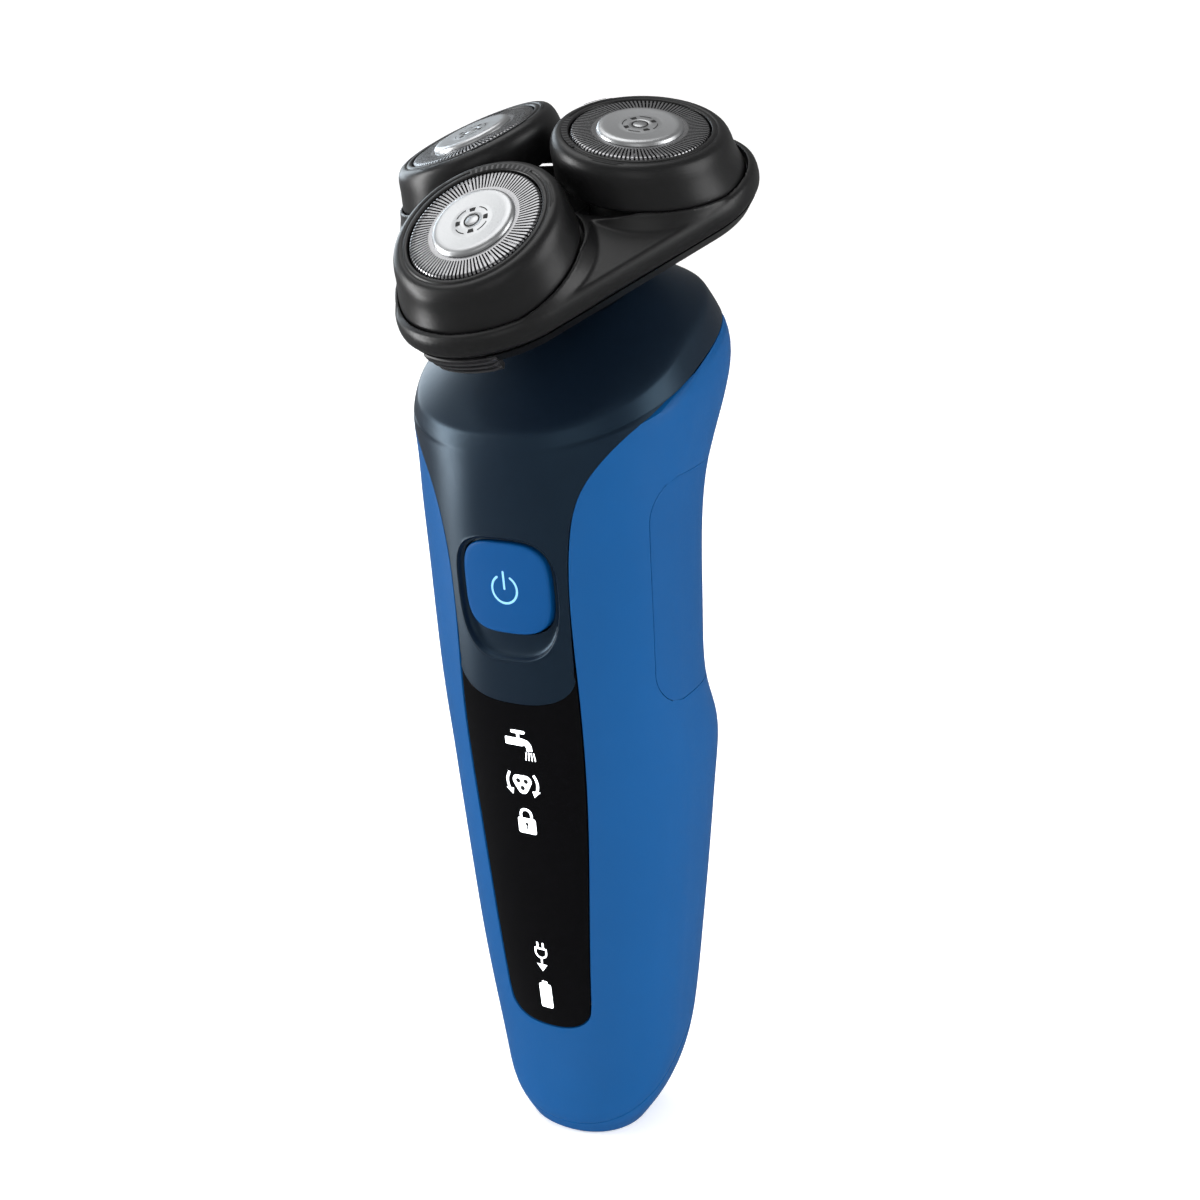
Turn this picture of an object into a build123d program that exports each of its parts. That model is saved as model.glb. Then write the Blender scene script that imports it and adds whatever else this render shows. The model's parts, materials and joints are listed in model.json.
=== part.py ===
from build123d import *
import os
from math import acos, atan2, cos, degrees, pi, radians, sin, sqrt, tan

# Rotary electric shaver, millimetres, +Z up along the handle.
# Origin: centre line of the handle on the flat base. Front (power button) faces -Y.

# ---- driving dimensions: handle ------------------------------------------------
# Each station is one cross-section: front y, front z, back y, back z, half width.
STATIONS = [
    (-10.6, 0.0, 7.5, 0.0, 10.0),
    (-11.75, 3.5, 8.4, 3.5, 12.4),
    (-11.9, 10.0, 12.1, 10.0, 15.1),
    (-12.7, 20.0, 15.8, 20.0, 16.7),
    (-13.5, 30.0, 17.2, 30.0, 17.8),
    (-14.1, 45.0, 19.3, 45.0, 19.2),
    (-14.6, 60.0, 21.4, 60.0, 20.4),
    (-15.0, 68.0, 21.9, 68.0, 20.8),
    (-15.2, 75.0, 18.9, 75.0, 20.7),
    (-15.3, 88.0, 17.6, 88.0, 20.9),
    (-15.5, 100.0, 18.4, 101.0, 21.1),
    (-16.0, 109.0, 22.0, 113.0, 21.6),
    (-16.3, 115.0, 28.6, 124.0, 22.6),
    (-16.2, 118.5, 29.2, 132.0, 22.8),
    (-15.8, 120.5, 25.0, 139.0, 21.0),
]
FRONT_POWER = 2.15          # roundness of the front half of every section
BACK_POWER = 3.0            # the back half is squarer
WIDEST = 0.47               # where the widest line sits between front and back
WALL = 2.0                  # handle shell
SKIN = 1.0                  # grip panel thickness
GAP = 0.12                  # seam between two fixed covers

STRIP_HALF = [              # half width of the front strip at each height
    (22.0, 5.6), (27.0, 7.8), (45.0, 9.1), (80.0, 10.6), (106.0, 11.1), (113.0, 13.3), (122.4, 21.0),
]
STRIP_BOTTOM = 21.4
COLLAR_PLANE = ((-6.0, 122.0), (27.0, 134.5))      # blue shell ends below this line in side view
WINDOW_TOP = (79.0, 85.5)                          # middle and side height of the lens top edge
WINDOW_ROUND = 2.7                                 # power of that rounded edge
CAP_SEAM = ((-11.6, 2.08), (14.0, 21.59))             # bottom cap seam in side view

SOCKET_X = (-5.2, 5.2)                              # charging socket opening in the base
SOCKET_Y = (-8.0, -1.0)

BUTTON_Z = 97.3
BUTTON = (14.8, 14.2, 4.6)                         # width, height, corner radius
BEZEL = (17.4, 19.6, 6.4)
BEZEL_Z = 95.2
BEZEL_DEPTH = 0.8
BUTTON_BACK = -11.6
BUTTON_TRAVEL = 0.4

# ---- driving dimensions: drive inside the handle ---------------------------------
BATTERY = (0.0, 4.0, 19.5, 8.25, 50.0)             # x, y, bottom z, radius, length
MOTOR_Y = 4.6
MOTOR_Z = (84.0, 112.0)
MOTOR_R = 9.5
SHAFT_R = 1.0
PINION_TEETH = 9
BEVEL_TEETH = 19
BEVEL_CONE = (18.4, 21.4)                          # inner and outer cone distance

# ---- driving dimensions: head -----------------------------------------------------
HEAD_Z = 156.6                                     # height of the middle of the three guards
TILT = 25.0                                        # head leans forward by this
PITCH = 16.5                                       # guard centres from the head axis
CANT = 14.4                                        # each guard leans outward by this
ANGLES = (-90, 30, 150)
SEAM = -12.3                                       # top frame meets lower housing
NECK_TOP = -20.0                                   # handle ends here on the head axis
NECK_R = 12.0
RIM = -6.2                                         # frame rim below each guard, on the unit axis
LOBE_R = 14.8
DECK_TOP = -5.4              # top of the frame between the guards
RIM_TOP = -5.5               # rims end here towards the hub
HUB_TOP = -4.6
GUARD_R = 9.9
GUARD_SLOTS = 72
CAP_R = 6.2
GEAR_MODULE = 0.6
CENTRAL_TEETH = 18
DRIVEN_TEETH = 30
SPINDLE_PITCH = GEAR_MODULE * (CENTRAL_TEETH + DRIVEN_TEETH) / 2
GEAR_Z = (-13.9, -12.1)
HINGE = (22.0, SEAM)                               # hinge pin in head coordinates: back, up
PIN_R = 0.8
AXLE_R = 0.9
COUPLER_R = 2.0

HEAD = Plane(
    origin=(0, 0, HEAD_Z), x_dir=(1, 0, 0), z_dir=(0, -sin(radians(TILT)), cos(radians(TILT)))
).location


def unit_place(angle):
    """Frame of one shaving unit in head coordinates: z along its axis, y towards the centre."""
    a, c = radians(angle), radians(CANT)
    plane = Plane(
        origin=(PITCH * cos(a), PITCH * sin(a), 0),
        x_dir=(-sin(a), cos(a), 0),
        z_dir=(sin(c) * cos(a), sin(c) * sin(a), cos(c)),
    )
    return plane.location


# ---- simple solids ------------------------------------------------------------------
def disc(radius, z0, z1, x=0.0, y=0.0):
    return Pos(x, y, (z0 + z1) / 2) * Cylinder(radius, z1 - z0)


def tube(outer, inner, z0, z1, x=0.0, y=0.0):
    return disc(outer, z0, z1, x, y) - disc(inner, z0 - 1, z1 + 1, x, y)


def block(x0, x1, y0, y1, z0, z1):
    return Pos((x0 + x1) / 2, (y0 + y1) / 2, (z0 + z1) / 2) * Box(x1 - x0, y1 - y0, z1 - z0)


def hexagon(corner_radius, z0, z1):
    return Pos(0, 0, z0) * extrude(RegularPolygon(corner_radius, 6), z1 - z0)


def front_prism(width, height, radius, z, y0, y1):
    """Rounded rectangle seen from the front, running from y0 back to y1."""
    sketch = Plane(origin=(0, y1, z), x_dir=(1, 0, 0), z_dir=(0, -1, 0)) * RectangleRounded(width, height, radius)
    return extrude(sketch, y1 - y0)


def polar(radius, angle):
    return radius * cos(radians(angle)), radius * sin(radians(angle))


def raised(face, height):
    """Prism standing on a flat sketch, always towards local +Z."""
    return extrude(face, height, dir=(0, 0, 1))


# ---- handle surface -------------------------------------------------------------------
def section(station, inset, count=28):
    """One closed cross-section of the handle, pulled in by inset."""
    yf, zf, yb, zb, half = station
    yf, yb, half = yf + inset, yb - inset, half - inset
    slope = (zb - zf) / (yb - yf)
    points = []
    for i in range(count):
        t = 2 * pi * i / count
        c, s = cos(t), sin(t)
        power = 2 / (FRONT_POWER if s < 0 else BACK_POWER)
        x = half * abs(c) ** power * (1 if c >= 0 else -1)
        if s < 0:
            v = WIDEST * (1 - abs(s) ** power)
        else:
            v = WIDEST + (1 - WIDEST) * abs(s) ** power
        y = yf + v * (yb - yf)
        points.append((x, y, zf + slope * (y - yf)))
    return Face(Wire(Spline(*points, periodic=True)))


def neck_face(radius, height, count=28):
    points = [polar(radius, 360 * i / count) for i in range(count)]
    wire = Wire(Spline(*[(x, y, height) for x, y in points], periodic=True))
    return HEAD * Face(wire)


def handle_solid(inset, raise_base=0.0):
    """Whole handle, collar and sloped shoulder up to the neck, pulled in by inset."""
    stations = list(STATIONS)
    yf, zf, yb, zb, half = stations[0]
    stations[0] = (yf, zf + raise_base, yb, zb + raise_base, half)
    body = loft([section(s, inset) for s in stations])
    shoulder = loft([section(stations[-1], inset), neck_face(NECK_R - inset, NECK_TOP)], ruled=True)
    return body + shoulder


def strip_tool(gap):
    """Everything in front of the side seams plus everything above the collar seam."""
    right = [(half - gap, z) for z, half in STRIP_HALF]
    left = [(-x, z) for x, z in reversed(right)]
    low = STRIP_BOTTOM + gap
    edges = [
        Line((-2, low), (2, low)),
        Spline((2, low), *right),
        Line(right[-1], left[0]),
        Spline(*left, (-2, low)),
    ]
    front = Plane(origin=(0, 0, 0), x_dir=(1, 0, 0), z_dir=(0, -1, 0))
    strip = front * raised(make_face(edges), 40)
    (ya, za), (yb, zb) = COLLAR_PLANE
    lean = degrees(atan2(zb - za, yb - ya))
    collar = Pos(0, ya, za + gap) * Rot(lean, 0, 0) * block(-60, 60, -60, 90, 0, 80)
    return strip + collar


def window_tool(gap):
    """Region below the arched upper edge of the lens."""
    middle, side = WINDOW_TOP
    half, steps = 10.8, 24
    edge = []
    for k in range(steps + 1):
        turn = pi * k / steps
        across = -cos(turn)
        drop = (1 - abs(across) ** WINDOW_ROUND) ** (1 / WINDOW_ROUND)
        edge.append((half * across, side - gap - (side - middle) * drop))
    outline = [(-12, 5), (-12, side - gap), *edge, (12, side - gap), (12, 5)]
    front = Plane(origin=(0, 0, 0), x_dir=(1, 0, 0), z_dir=(0, -1, 0))
    return front * raised(make_face(Polyline(*outline, close=True)), 40)


def grip_tool(gap):
    """Side view outline of the waist grip, run through the whole width."""
    low, high, front = 77.0 + gap, 112.0 - gap, -6.0 + gap
    outline = make_face(Polyline((front, low), (40, low), (40, high), (front, high), close=True))
    outline = fillet(outline.vertices().group_by(Axis.X)[0], 6.0)
    side = Plane(origin=(-40, 0, 0), x_dir=(0, 1, 0), z_dir=(1, 0, 0))
    return side * raised(outline, 80)


def cap_tool(gap):
    """Everything below the slanted bottom seam."""
    (ya, za), (yb, zb) = CAP_SEAM
    lean = degrees(atan2(zb - za, yb - ya))
    return Pos(0, ya, za - gap) * Rot(lean, 0, 0) * block(-60, 60, -40, 60, -60, 0)


# ---- gears -----------------------------------------------------------------------------
def gear_outline(teeth, module, tooth_at, backlash=0.1, addendum=0.9, steps=3):
    """Involute spur outline with one tooth centred on the angle tooth_at."""
    pressure = radians(20)
    pitch = module * teeth / 2
    base = pitch * cos(pressure)
    tip = pitch + addendum * module
    root = pitch - 1.2 * module
    half = pi / (2 * teeth) - backlash / (2 * pitch)
    start = max(base, root) + 0.01

    def flank(radius):
        angle = acos(min(1.0, base / radius))
        return half + (tan(pressure) - pressure) - (tan(angle) - angle)

    points = []
    for k in range(teeth):
        middle = radians(tooth_at) + 2 * pi * k / teeth
        radii = [start + (tip - start) * j / steps for j in range(steps + 1)]
        side = [(root, flank(start))] + [(r, flank(r)) for r in radii]
        points += [(r * cos(middle - a), r * sin(middle - a)) for r, a in side]
        points += [(r * cos(middle + a), r * sin(middle + a)) for r, a in reversed(side)]
    return points


def spur_gear(teeth, tooth_at, z0, z1):
    outline = make_face(Polyline(*gear_outline(teeth, GEAR_MODULE, tooth_at), close=True))
    return Pos(0, 0, z0) * extrude(outline, z1 - z0)


def bevel_angles():
    """Pitch cone angles of pinion and wheel for a shaft angle equal to the head tilt."""
    ratio = BEVEL_TEETH / PINION_TEETH
    pinion = atan2(sin(radians(TILT)), ratio + cos(radians(TILT)))
    return pinion, radians(TILT) - pinion


def bevel_gear(teeth, cone, tooth_at, backlash=0.16):
    """Conical gear hanging below its apex at the local origin."""
    module = 2 * BEVEL_CONE[1] * sin(cone) / teeth
    outline = gear_outline(teeth, module, tooth_at, backlash, 0.8)
    faces = []
    for distance in reversed(BEVEL_CONE):
        scale = distance / BEVEL_CONE[1]
        points = [(x * scale, y * scale, -distance * cos(cone)) for x, y in outline]
        faces.append(make_face(Polyline(*points, close=True)))
    return loft(faces, ruled=True)


# ---- handle pieces -----------------------------------------------------------------------
def make_covers():
    outer = handle_solid(0.0)
    skin = handle_solid(SKIN + 0.05)
    inner = handle_solid(WALL, raise_base=WALL)
    shell = outer - inner
    strip, strip_in = strip_tool(0.0), strip_tool(GAP)
    grip, grip_in = grip_tool(0.0), grip_tool(GAP)

    rear_shell = shell - strip - cap_tool(-GAP) - (grip & (outer - skin))
    grip_panel = (outer - handle_solid(SKIN)) & grip_in
    grip_panel = grip_panel - strip_tool(-GAP)
    cover = shell & strip_in
    display_window = cover & window_tool(GAP)
    front_cover = cover - window_tool(0.0)
    bezel = front_prism(*BEZEL, BEZEL_Z, -30, -8) & (outer - handle_solid(BEZEL_DEPTH))
    hole = front_prism(BUTTON[0] + 0.5, BUTTON[1] + 0.5, BUTTON[2] + 0.2, BUTTON_Z, -30, -5)
    front_cover = front_cover - bezel - hole
    bottom_cap = shell & cap_tool(0.0)
    bottom_cap = bottom_cap - block(*SOCKET_X, *SOCKET_Y, -1, 3)
    button = outer & front_prism(*BUTTON, BUTTON_Z, -30, BUTTON_BACK)
    button = button - front_prism(11.0, 10.4, 3.0, BUTTON_Z, -13.4, -11)
    button = button + block(-1.5, 1.5, -14.0, BUTTON_BACK + 0.2, BUTTON_Z - 1.5, BUTTON_Z + 1.5)
    return {
        "rear_shell": rear_shell,
        "grip_panel": grip_panel,
        "front_cover": front_cover,
        "display_window": display_window,
        "bottom_cap": bottom_cap,
        "power_button": button,
    }


def make_handle_inside():
    """Electrics, chassis and motor frame fixed inside the handle."""
    bx, by, bz, br, length = BATTERY
    low, high = MOTOR_Z
    battery = disc(br, bz, bz + length, bx, by) + disc(3.0, bz + length, bz + length + 0.8, bx, by)

    chassis = block(-11, 11, -6.9, -5.9, 20, 110)
    chassis += block(-7.5, 7.5, -6.9, 12.6, high + 0.1, high + 1.5)
    chassis += block(-7.5, 7.5, -6.9, -5.9, 109, high + 1.5)
    for z in (31, 57):
        chassis += tube(br + 1.0, br + 0.1, z, z + 4, bx, by) + block(-5, 5, -6.9, -5.1, z, z + 4) - disc(br + 0.1, z, z + 4, bx, by)
    chassis += tube(MOTOR_R + 1.0, MOTOR_R + 0.1, 94, 99, 0, MOTOR_Y) + block(-5, 5, -6.9, -4.6, 94, 99) - disc(MOTOR_R + 0.1, 94, 99, 0, MOTOR_Y)
    chassis -= disc(SHAFT_R + 1.6, high, high + 2, 0, MOTOR_Y)
    screw_holes = [(-6.6, 26), (6.6, 26), (-6.6, 79), (6.6, 79)]
    screws = []
    for x, z in screw_holes:
        hole = Pos(x, -6.4, z) * Rot(90, 0, 0) * Cylinder(0.75, 4)
        chassis -= hole
        screws.append(Pos(x, -6.35, z) * Rot(90, 0, 0) * Cylinder(0.7, 4.0))
        screws.append(Pos(x, -8.7, z) * Rot(90, 0, 0) * Cylinder(1.4, 0.7))
    screws = [screws[i] + screws[i + 1] for i in range(0, len(screws), 2)]

    can = tube(MOTOR_R, MOTOR_R - 0.8, low + 2, high, 0, MOTOR_Y)
    can += tube(MOTOR_R, SHAFT_R + 0.05, high - 1.0, high, 0, MOTOR_Y)
    magnets = tube(MOTOR_R - 0.85, MOTOR_R - 2.1, low + 5, high - 4, 0, MOTOR_Y)
    magnets -= block(-1.5, 1.5, -20, 20, low, high)
    endcap = tube(MOTOR_R, SHAFT_R + 0.05, low, low + 1.95, 0, MOTOR_Y)

    board = block(-8, 8, -8.35, -7.15, 22, 106)
    for x, z in screw_holes:
        board -= Pos(x, -8, z) * Rot(90, 0, 0) * Cylinder(1.5, 6)
    switch = block(-3, 3, -10.3, -8.4, BUTTON_Z - 3, BUTTON_Z + 3)
    switch += Pos(0, -10.5, BUTTON_Z) * Rot(90, 0, 0) * Cylinder(1.3, 0.9)
    leds = [block(-1, 1, -9.0, -8.4, z - 0.8, z + 0.8) for z in (27.4, 34.6, 59.3, 66.0, 72.5)]
    guide = block(-4.6, 4.6, -10.9, -9.2, 28.5, 76)
    guide -= block(-3.8, 3.8, -10.2, -9.0, 39, 55)
    leads = [
        block(-3, 3, by - 0.5, by + 0.5, bz - 0.4, bz - 0.1),
        block(-2, 2, by - 0.5, by + 0.5, bz + length + 0.85, bz + length + 1.15),
        block(-8.8, -8.0, -5.8, -5.0, 60, 83.5),
        block(8.0, 8.8, -5.8, -5.0, 60, 83.5),
    ]
    membrane = front_prism(20.0, 19.0, 5.0, BUTTON_Z, -11.5, -10.9)
    membrane -= front_prism(BUTTON[0] + 0.5, BUTTON[1] + 0.5, BUTTON[2] + 0.2, BUTTON_Z, -12, -10)

    (x0, x1), (y0, y1) = SOCKET_X, SOCKET_Y
    socket = block(x0 + 0.1, x1 - 0.1, y0 + 0.1, y1 - 0.1, 0.0, 10.0)
    socket -= block(x0 + 0.9, x1 - 0.9, y0 + 0.9, y1 - 0.9, -1, 8.5)
    pins = []
    for x in (-1.9, 1.9):
        socket -= disc(0.6, 8, 11, x, (y0 + y1) / 2)
        pins.append(disc(0.6, 4.8, 12.5, x, (y0 + y1) / 2))
    return {
        "battery_cell": battery,
        "inner_chassis": chassis,
        "chassis_screws": screws,
        "motor_can": can,
        "motor_magnets": magnets,
        "motor_endcap": endcap,
        "main_board": board,
        "tact_switch": switch,
        "display_leds": leds,
        "light_guide": guide,
        "wiring_leads": leads,
        "button_membrane": membrane,
        "charging_socket": socket,
        "socket_pins": pins,
    }


def make_drive():
    """Armature, bevel reduction and the coupler that reaches up through the neck."""
    low, high = MOTOR_Z
    pinion_cone, wheel_cone = bevel_angles()
    apex_s = -MOTOR_Y / sin(radians(TILT))
    apex_z = HEAD_Z + apex_s * cos(radians(TILT))
    inner, outer = BEVEL_CONE
    pinion_z = (apex_z - outer * cos(pinion_cone), apex_z - inner * cos(pinion_cone))
    wheel_s = (apex_s - outer * cos(wheel_cone), apex_s - inner * cos(wheel_cone))

    shaft = disc(SHAFT_R, low + 0.3, pinion_z[1], 0, MOTOR_Y)
    rotor = tube(MOTOR_R - 2.6, SHAFT_R, low + 5, high - 4, 0, MOTOR_Y)
    for k in range(5):
        slot = block(-0.6, 0.6, 4.4, 8.0, low, high)
        rotor -= Pos(0, MOTOR_Y, 0) * Rot(0, 0, 72 * k) * slot
    rotor += tube(2.2, SHAFT_R, low + 2.6, low + 5, 0, MOTOR_Y)
    pinion = Pos(0, MOTOR_Y, apex_z) * bevel_gear(PINION_TEETH, pinion_cone, 90)
    pinion -= disc(SHAFT_R, pinion_z[0] - 1, pinion_z[1] + 1, 0, MOTOR_Y)

    tooth = -90 + 180 / BEVEL_TEETH
    wheel = Pos(0, 0, apex_s) * bevel_gear(BEVEL_TEETH, wheel_cone, tooth)
    wheel = wheel - disc(COUPLER_R, wheel_s[0] - 1, wheel_s[1] + 1)
    coupler = disc(COUPLER_R, wheel_s[0] - 1.0, -21.5) + hexagon(2.6, -21.5, -17.6)
    coupler += disc(2.6, wheel_s[1], wheel_s[1] + 0.8)
    neck_socket = tube(NECK_R - WALL - 0.15, 7.7, -25.4, NECK_TOP) + tube(12.6, 2.06, -25.4, -24.6)
    seal = tube(3.4, COUPLER_R + 0.06, -24.55, -23.9)
    return {
        "motor_shaft": shaft,
        "motor_rotor": rotor,
        "drive_pinion": pinion,
        "bevel_wheel": HEAD * wheel,
        "drive_coupler": HEAD * coupler,
        "neck_socket": HEAD * neck_socket,
        "shaft_seal": HEAD * seal,
    }


# ---- head pieces ------------------------------------------------------------------------
def hull(radius, z0, z1):
    """Prism around the three unit centres: round lobes joined by straight flanks."""
    centres = [polar(PITCH, a) for a in ANGLES]
    face = offset(make_face(Polyline(*centres, close=True)), amount=radius, kind=Kind.ARC)
    return Pos(0, 0, z0) * raised(face, z1 - z0)


def hull_taper(low, z0, high, z1):
    """Straight taper between two rounded triangles of lobe radius low and high."""
    centres = [polar(PITCH, a) for a in ANGLES]
    core = make_face(Polyline(*centres, close=True))
    faces = []
    for radius, z in ((low, z0), (high, z1)):
        faces.append(Pos(0, 0, z) * offset(core, amount=radius, kind=Kind.ARC))
    return loft(faces, ruled=True)


def make_lower_head():
    """Connector, lower housing, gear deck and what is fixed to them."""
    posts = [polar(16.0, a) for a in (-30, 90, 210)]
    axles = [polar(SPINDLE_PITCH, a) for a in ANGLES]

    connector = tube(NECK_R, 4.2, NECK_TOP + 0.15, -16.6) + tube(7.4, 4.2, -24.2, -18)

    housing = hull_taper(13.0, -14.0, 14.2, SEAM - 0.1)
    housing += hull_taper(4.5, -17.4, 13.0, -14.0)
    housing -= hull(10.4, -14.4, -10)
    housing -= disc(4.2, -20, -10)
    housing -= disc(NECK_R + 0.02, -20, -16.6) & hull(30, -20, -16.6)
    for x, y in posts:
        housing += disc(2.2, -14.4, -11.85, x, y) - disc(0.8, -14, -11, x, y)
    for x, y in axles:
        housing -= disc(AXLE_R, -15.2, -14, x, y)
    hinge_y, hinge_z = HINGE
    relief = Pos(0, hinge_y, hinge_z) * Rot(0, 90, 0) * Cylinder(2.0, 38)
    housing -= relief
    knuckle = Pos(0, hinge_y, hinge_z) * Rot(0, 90, 0) * Cylinder(1.6, 6.0)
    knuckle += block(-3, 3, hinge_y - 2.6, hinge_y + 0.4, SEAM - 2.6, SEAM - 0.2)
    knuckle -= Pos(0, hinge_y, hinge_z) * Rot(0, 90, 0) * Cylinder(PIN_R, 8)
    housing += knuckle
    housing -= block(-4.8, 4.8, -40, -24.8, -16.5, -12.0)
    housing += block(-1.5, 1.5, -24.8, -24.35, -15.0, -12.7)

    plate = hull(9.8, -11.8, -10.9)
    for x, y in axles:
        plate -= disc(3.2, -12, -10, x, y)
    plate -= disc(2.6, -12, -10)
    screws = []
    for x, y in posts:
        plate -= disc(0.85, -12, -10, x, y)
        screws.append(disc(0.75, -13.8, -10.85, x, y) + disc(1.5, -10.85, -10.2, x, y))
    pins = [disc(AXLE_R, -15.2, -12.3, x, y) for x, y in axles]
    pin = Pos(0, hinge_y, hinge_z) * Rot(0, 90, 0) * Cylinder(PIN_R, 15.6)
    return {
        "head_connector": connector,
        "lower_housing": housing,
        "gear_plate": plate,
        "gear_axles": pins,
        "plate_screws": screws,
        "hinge_pin": pin,
    }


def make_release():
    """Ribbed tab under the front lobe and its small return spring."""
    tab = block(-4.5, 4.5, -32, -26.8, -16.2, -12.6) & hull_taper(11.6, -16.2, 14.4, -12.6)
    for k in range(3):
        z = -15.3 + 0.9 * k
        reach = 14.4 - 0.78 * (-12.6 - z)
        tab -= tube(20, reach - 0.45, z - 0.2, z + 0.2, 0, -PITCH)
    spring = Pos(0, -26.75, -13.4) * Rot(-90, 0, 0) * tube(0.95, 0.55, 0, 1.9)
    return {"release_tab": tab, "release_spring": spring}


def make_gears():
    """Central wheel with its hexagonal socket and the three driven wheels."""
    z0, z1 = GEAR_Z
    pieces = {}
    central = spur_gear(CENTRAL_TEETH, ANGLES[0], z0, z1)
    central += disc(4.05, -21.0, z0) + disc(2.4, z1, -10.4)
    central -= hexagon(3.0, -22, -17.0)
    pieces["central_gear"] = central
    for number, angle in enumerate(ANGLES, 1):
        x, y = polar(SPINDLE_PITCH, angle)
        facing = angle + 180 + 180 / DRIVEN_TEETH
        gear = spur_gear(DRIVEN_TEETH, facing, z0, z1) + disc(3.0, z1, -10.9)
        gear -= disc(AXLE_R + 0.06, z0 - 1, -12.2)
        gear -= hexagon(1.7, -12.2, -10)
        tip = hexagon(1.7, -11.9, -10.7) + disc(1.1, -10.7, -8.4) + hexagon(1.5, -9.0, -7.5)
        pieces[f"driven_gear_{number}"] = Pos(x, y, 0) * gear
        pieces[f"spindle_{number}"] = Pos(x, y, 0) * tip
    return pieces


def canted(radius, shift, h0, h1, angle):
    """Cylinder along one unit's axis, shifted outward, in head coordinates."""
    return unit_place(angle) * disc(radius, h0, h1, 0, -shift)


def make_frame():
    """Top frame that carries the three units, its centre cap and the leaf springs."""
    shape = hull_taper(14.2, SEAM, 14.9, -10.8) + hull_taper(14.9, -10.8, 14.4, -9.4)
    deck = hull_taper(14.4, -9.4, 2.0, DECK_TOP)
    band = hull(14.9, SEAM, RIM_TOP)
    cavity = hull(12.9, SEAM - 1, -10.2) + hull_taper(12.9, -10.2, 1.0, DECK_TOP - 1.1)
    frame = shape + deck
    for angle in ANGLES:
        frame += canted(LOBE_R, 1.4, -12.0, RIM, angle) & band
    for angle in ANGLES:
        cavity += canted(LOBE_R - 0.75, 1.45, -8.4, 4, angle)
    frame -= cavity
    for angle in (-30, 90, 210):
        frame += Rot(0, 0, angle) * block(0.5, 22, -0.5, 0.5, -9.9, -7.3) & (shape + deck)
    frame += disc(2.4, -9.9, HUB_TOP)
    frame -= disc(2.1, HUB_TOP - 0.6, 2)

    hinge_y, hinge_z = HINGE
    across = Pos(0, hinge_y, hinge_z) * Rot(0, 90, 0)
    frame -= across * Cylinder(1.9, 6.6)
    for side in (-1, 1):
        knuckle = Pos(side * 5.5, 0, 0) * across * Cylinder(1.6, 4.0)
        arm = block(-2, 2, hinge_y - 2.2, hinge_y + 0.6, SEAM + 0.1, SEAM + 2.6)
        frame += knuckle + Pos(side * 5.5, 0, 0) * arm
    frame -= across * Cylinder(PIN_R + 0.05, 30)

    cap = disc(1.95, HUB_TOP - 0.6, HUB_TOP + 0.3)
    springs = []
    for angle in ANGLES:
        leaf = block(2.45, 5.8, -1.0, 1.0, -7.25, -6.95) + block(4.8, 5.8, -5.0, 5.0, -7.25, -6.95)
        springs.append(Rot(0, 0, angle) * leaf)
    return {"top_frame": frame, "hub_cap": cap, "tilt_springs": springs}


# ---- one shaving unit, in its own frame ----------------------------------------------------
def make_skin_ring():
    """Black ring round the guard: leans outward towards its foot."""
    profile = [(12.1, 0.0, 0.0), (13.0, 0.1, -1.2), (13.3, 0.45, -3.0), (13.7, 1.35, -5.6), (13.6, 1.5, -6.5)]
    ring = loft([Pos(0, -shift, h) * make_face(Circle(r).edges()) for r, shift, h in profile], ruled=True)
    ring -= disc(GUARD_R + 0.15, -8, 1)
    ring -= disc(11.35, -8, -1.8)
    return ring


def make_guard():
    """Slotted steel guard: flat shaving track, skirt and seating flange."""
    guard = tube(GUARD_R, CAP_R - 0.3, -0.35, 0) + tube(GUARD_R, GUARD_R - 0.4, -2.2, 0)
    guard += tube(11.2, GUARD_R - 0.4, -2.2, -1.85)
    slots = []
    for k in range(GUARD_SLOTS):
        slots.append(Rot(0, 0, 360 * k / GUARD_SLOTS) * block(6.9, 9.3, -0.13, 0.13, -1, 1))
    return guard - slots


def make_guard_cap():
    cap = disc(CAP_R, 0, 0.7) - tube(1.6, 1.2, 0.45, 1)
    cap = chamfer(cap.edges().group_by(Axis.Z)[-1].sort_by(SortBy.RADIUS)[-1], 0.25)
    return cap + disc(CAP_R - 0.35, -0.9, 0)


def make_retainer():
    """Clip that holds guard and cutter in the ring."""
    retainer = tube(11.3, 10.3, -6.2, -2.25) + tube(4.8, 3.6, -5.2, -4.4)
    for k in range(3):
        retainer += Rot(0, 0, 120 * k + 30) * block(4.4, 10.6, -0.8, 0.8, -5.2, -4.4)
    return retainer


def make_cutter():
    """Rotating cutter: plate, hub with a hexagonal socket and upright blades."""
    cutter = tube(9.0, 2.0, -3.4, -2.8) + disc(3.0, -9.5, -2.8)
    cutter -= hexagon(2.7, -10, -7.0)
    for k in range(15):
        blade = block(6.5, 9.0, -0.25, 0.25, -3.0, -0.45)
        cutter += Rot(0, 0, 24 * k) * blade
    return cutter


def make_unit(number, angle):
    place = HEAD * unit_place(angle)
    return {
        f"skin_ring_{number}": place * make_skin_ring(),
        f"guard_{number}": place * make_guard(),
        f"guard_cap_{number}": place * make_guard_cap(),
        f"retainer_{number}": place * make_retainer(),
        f"cutter_{number}": place * make_cutter(),
    }


def in_head(pieces):
    """Move pieces made in head coordinates to their place on the handle."""
    placed = {}
    for name, shape in pieces.items():
        placed[name] = [HEAD * s for s in shape] if isinstance(shape, list) else HEAD * shape
    return placed


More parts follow.
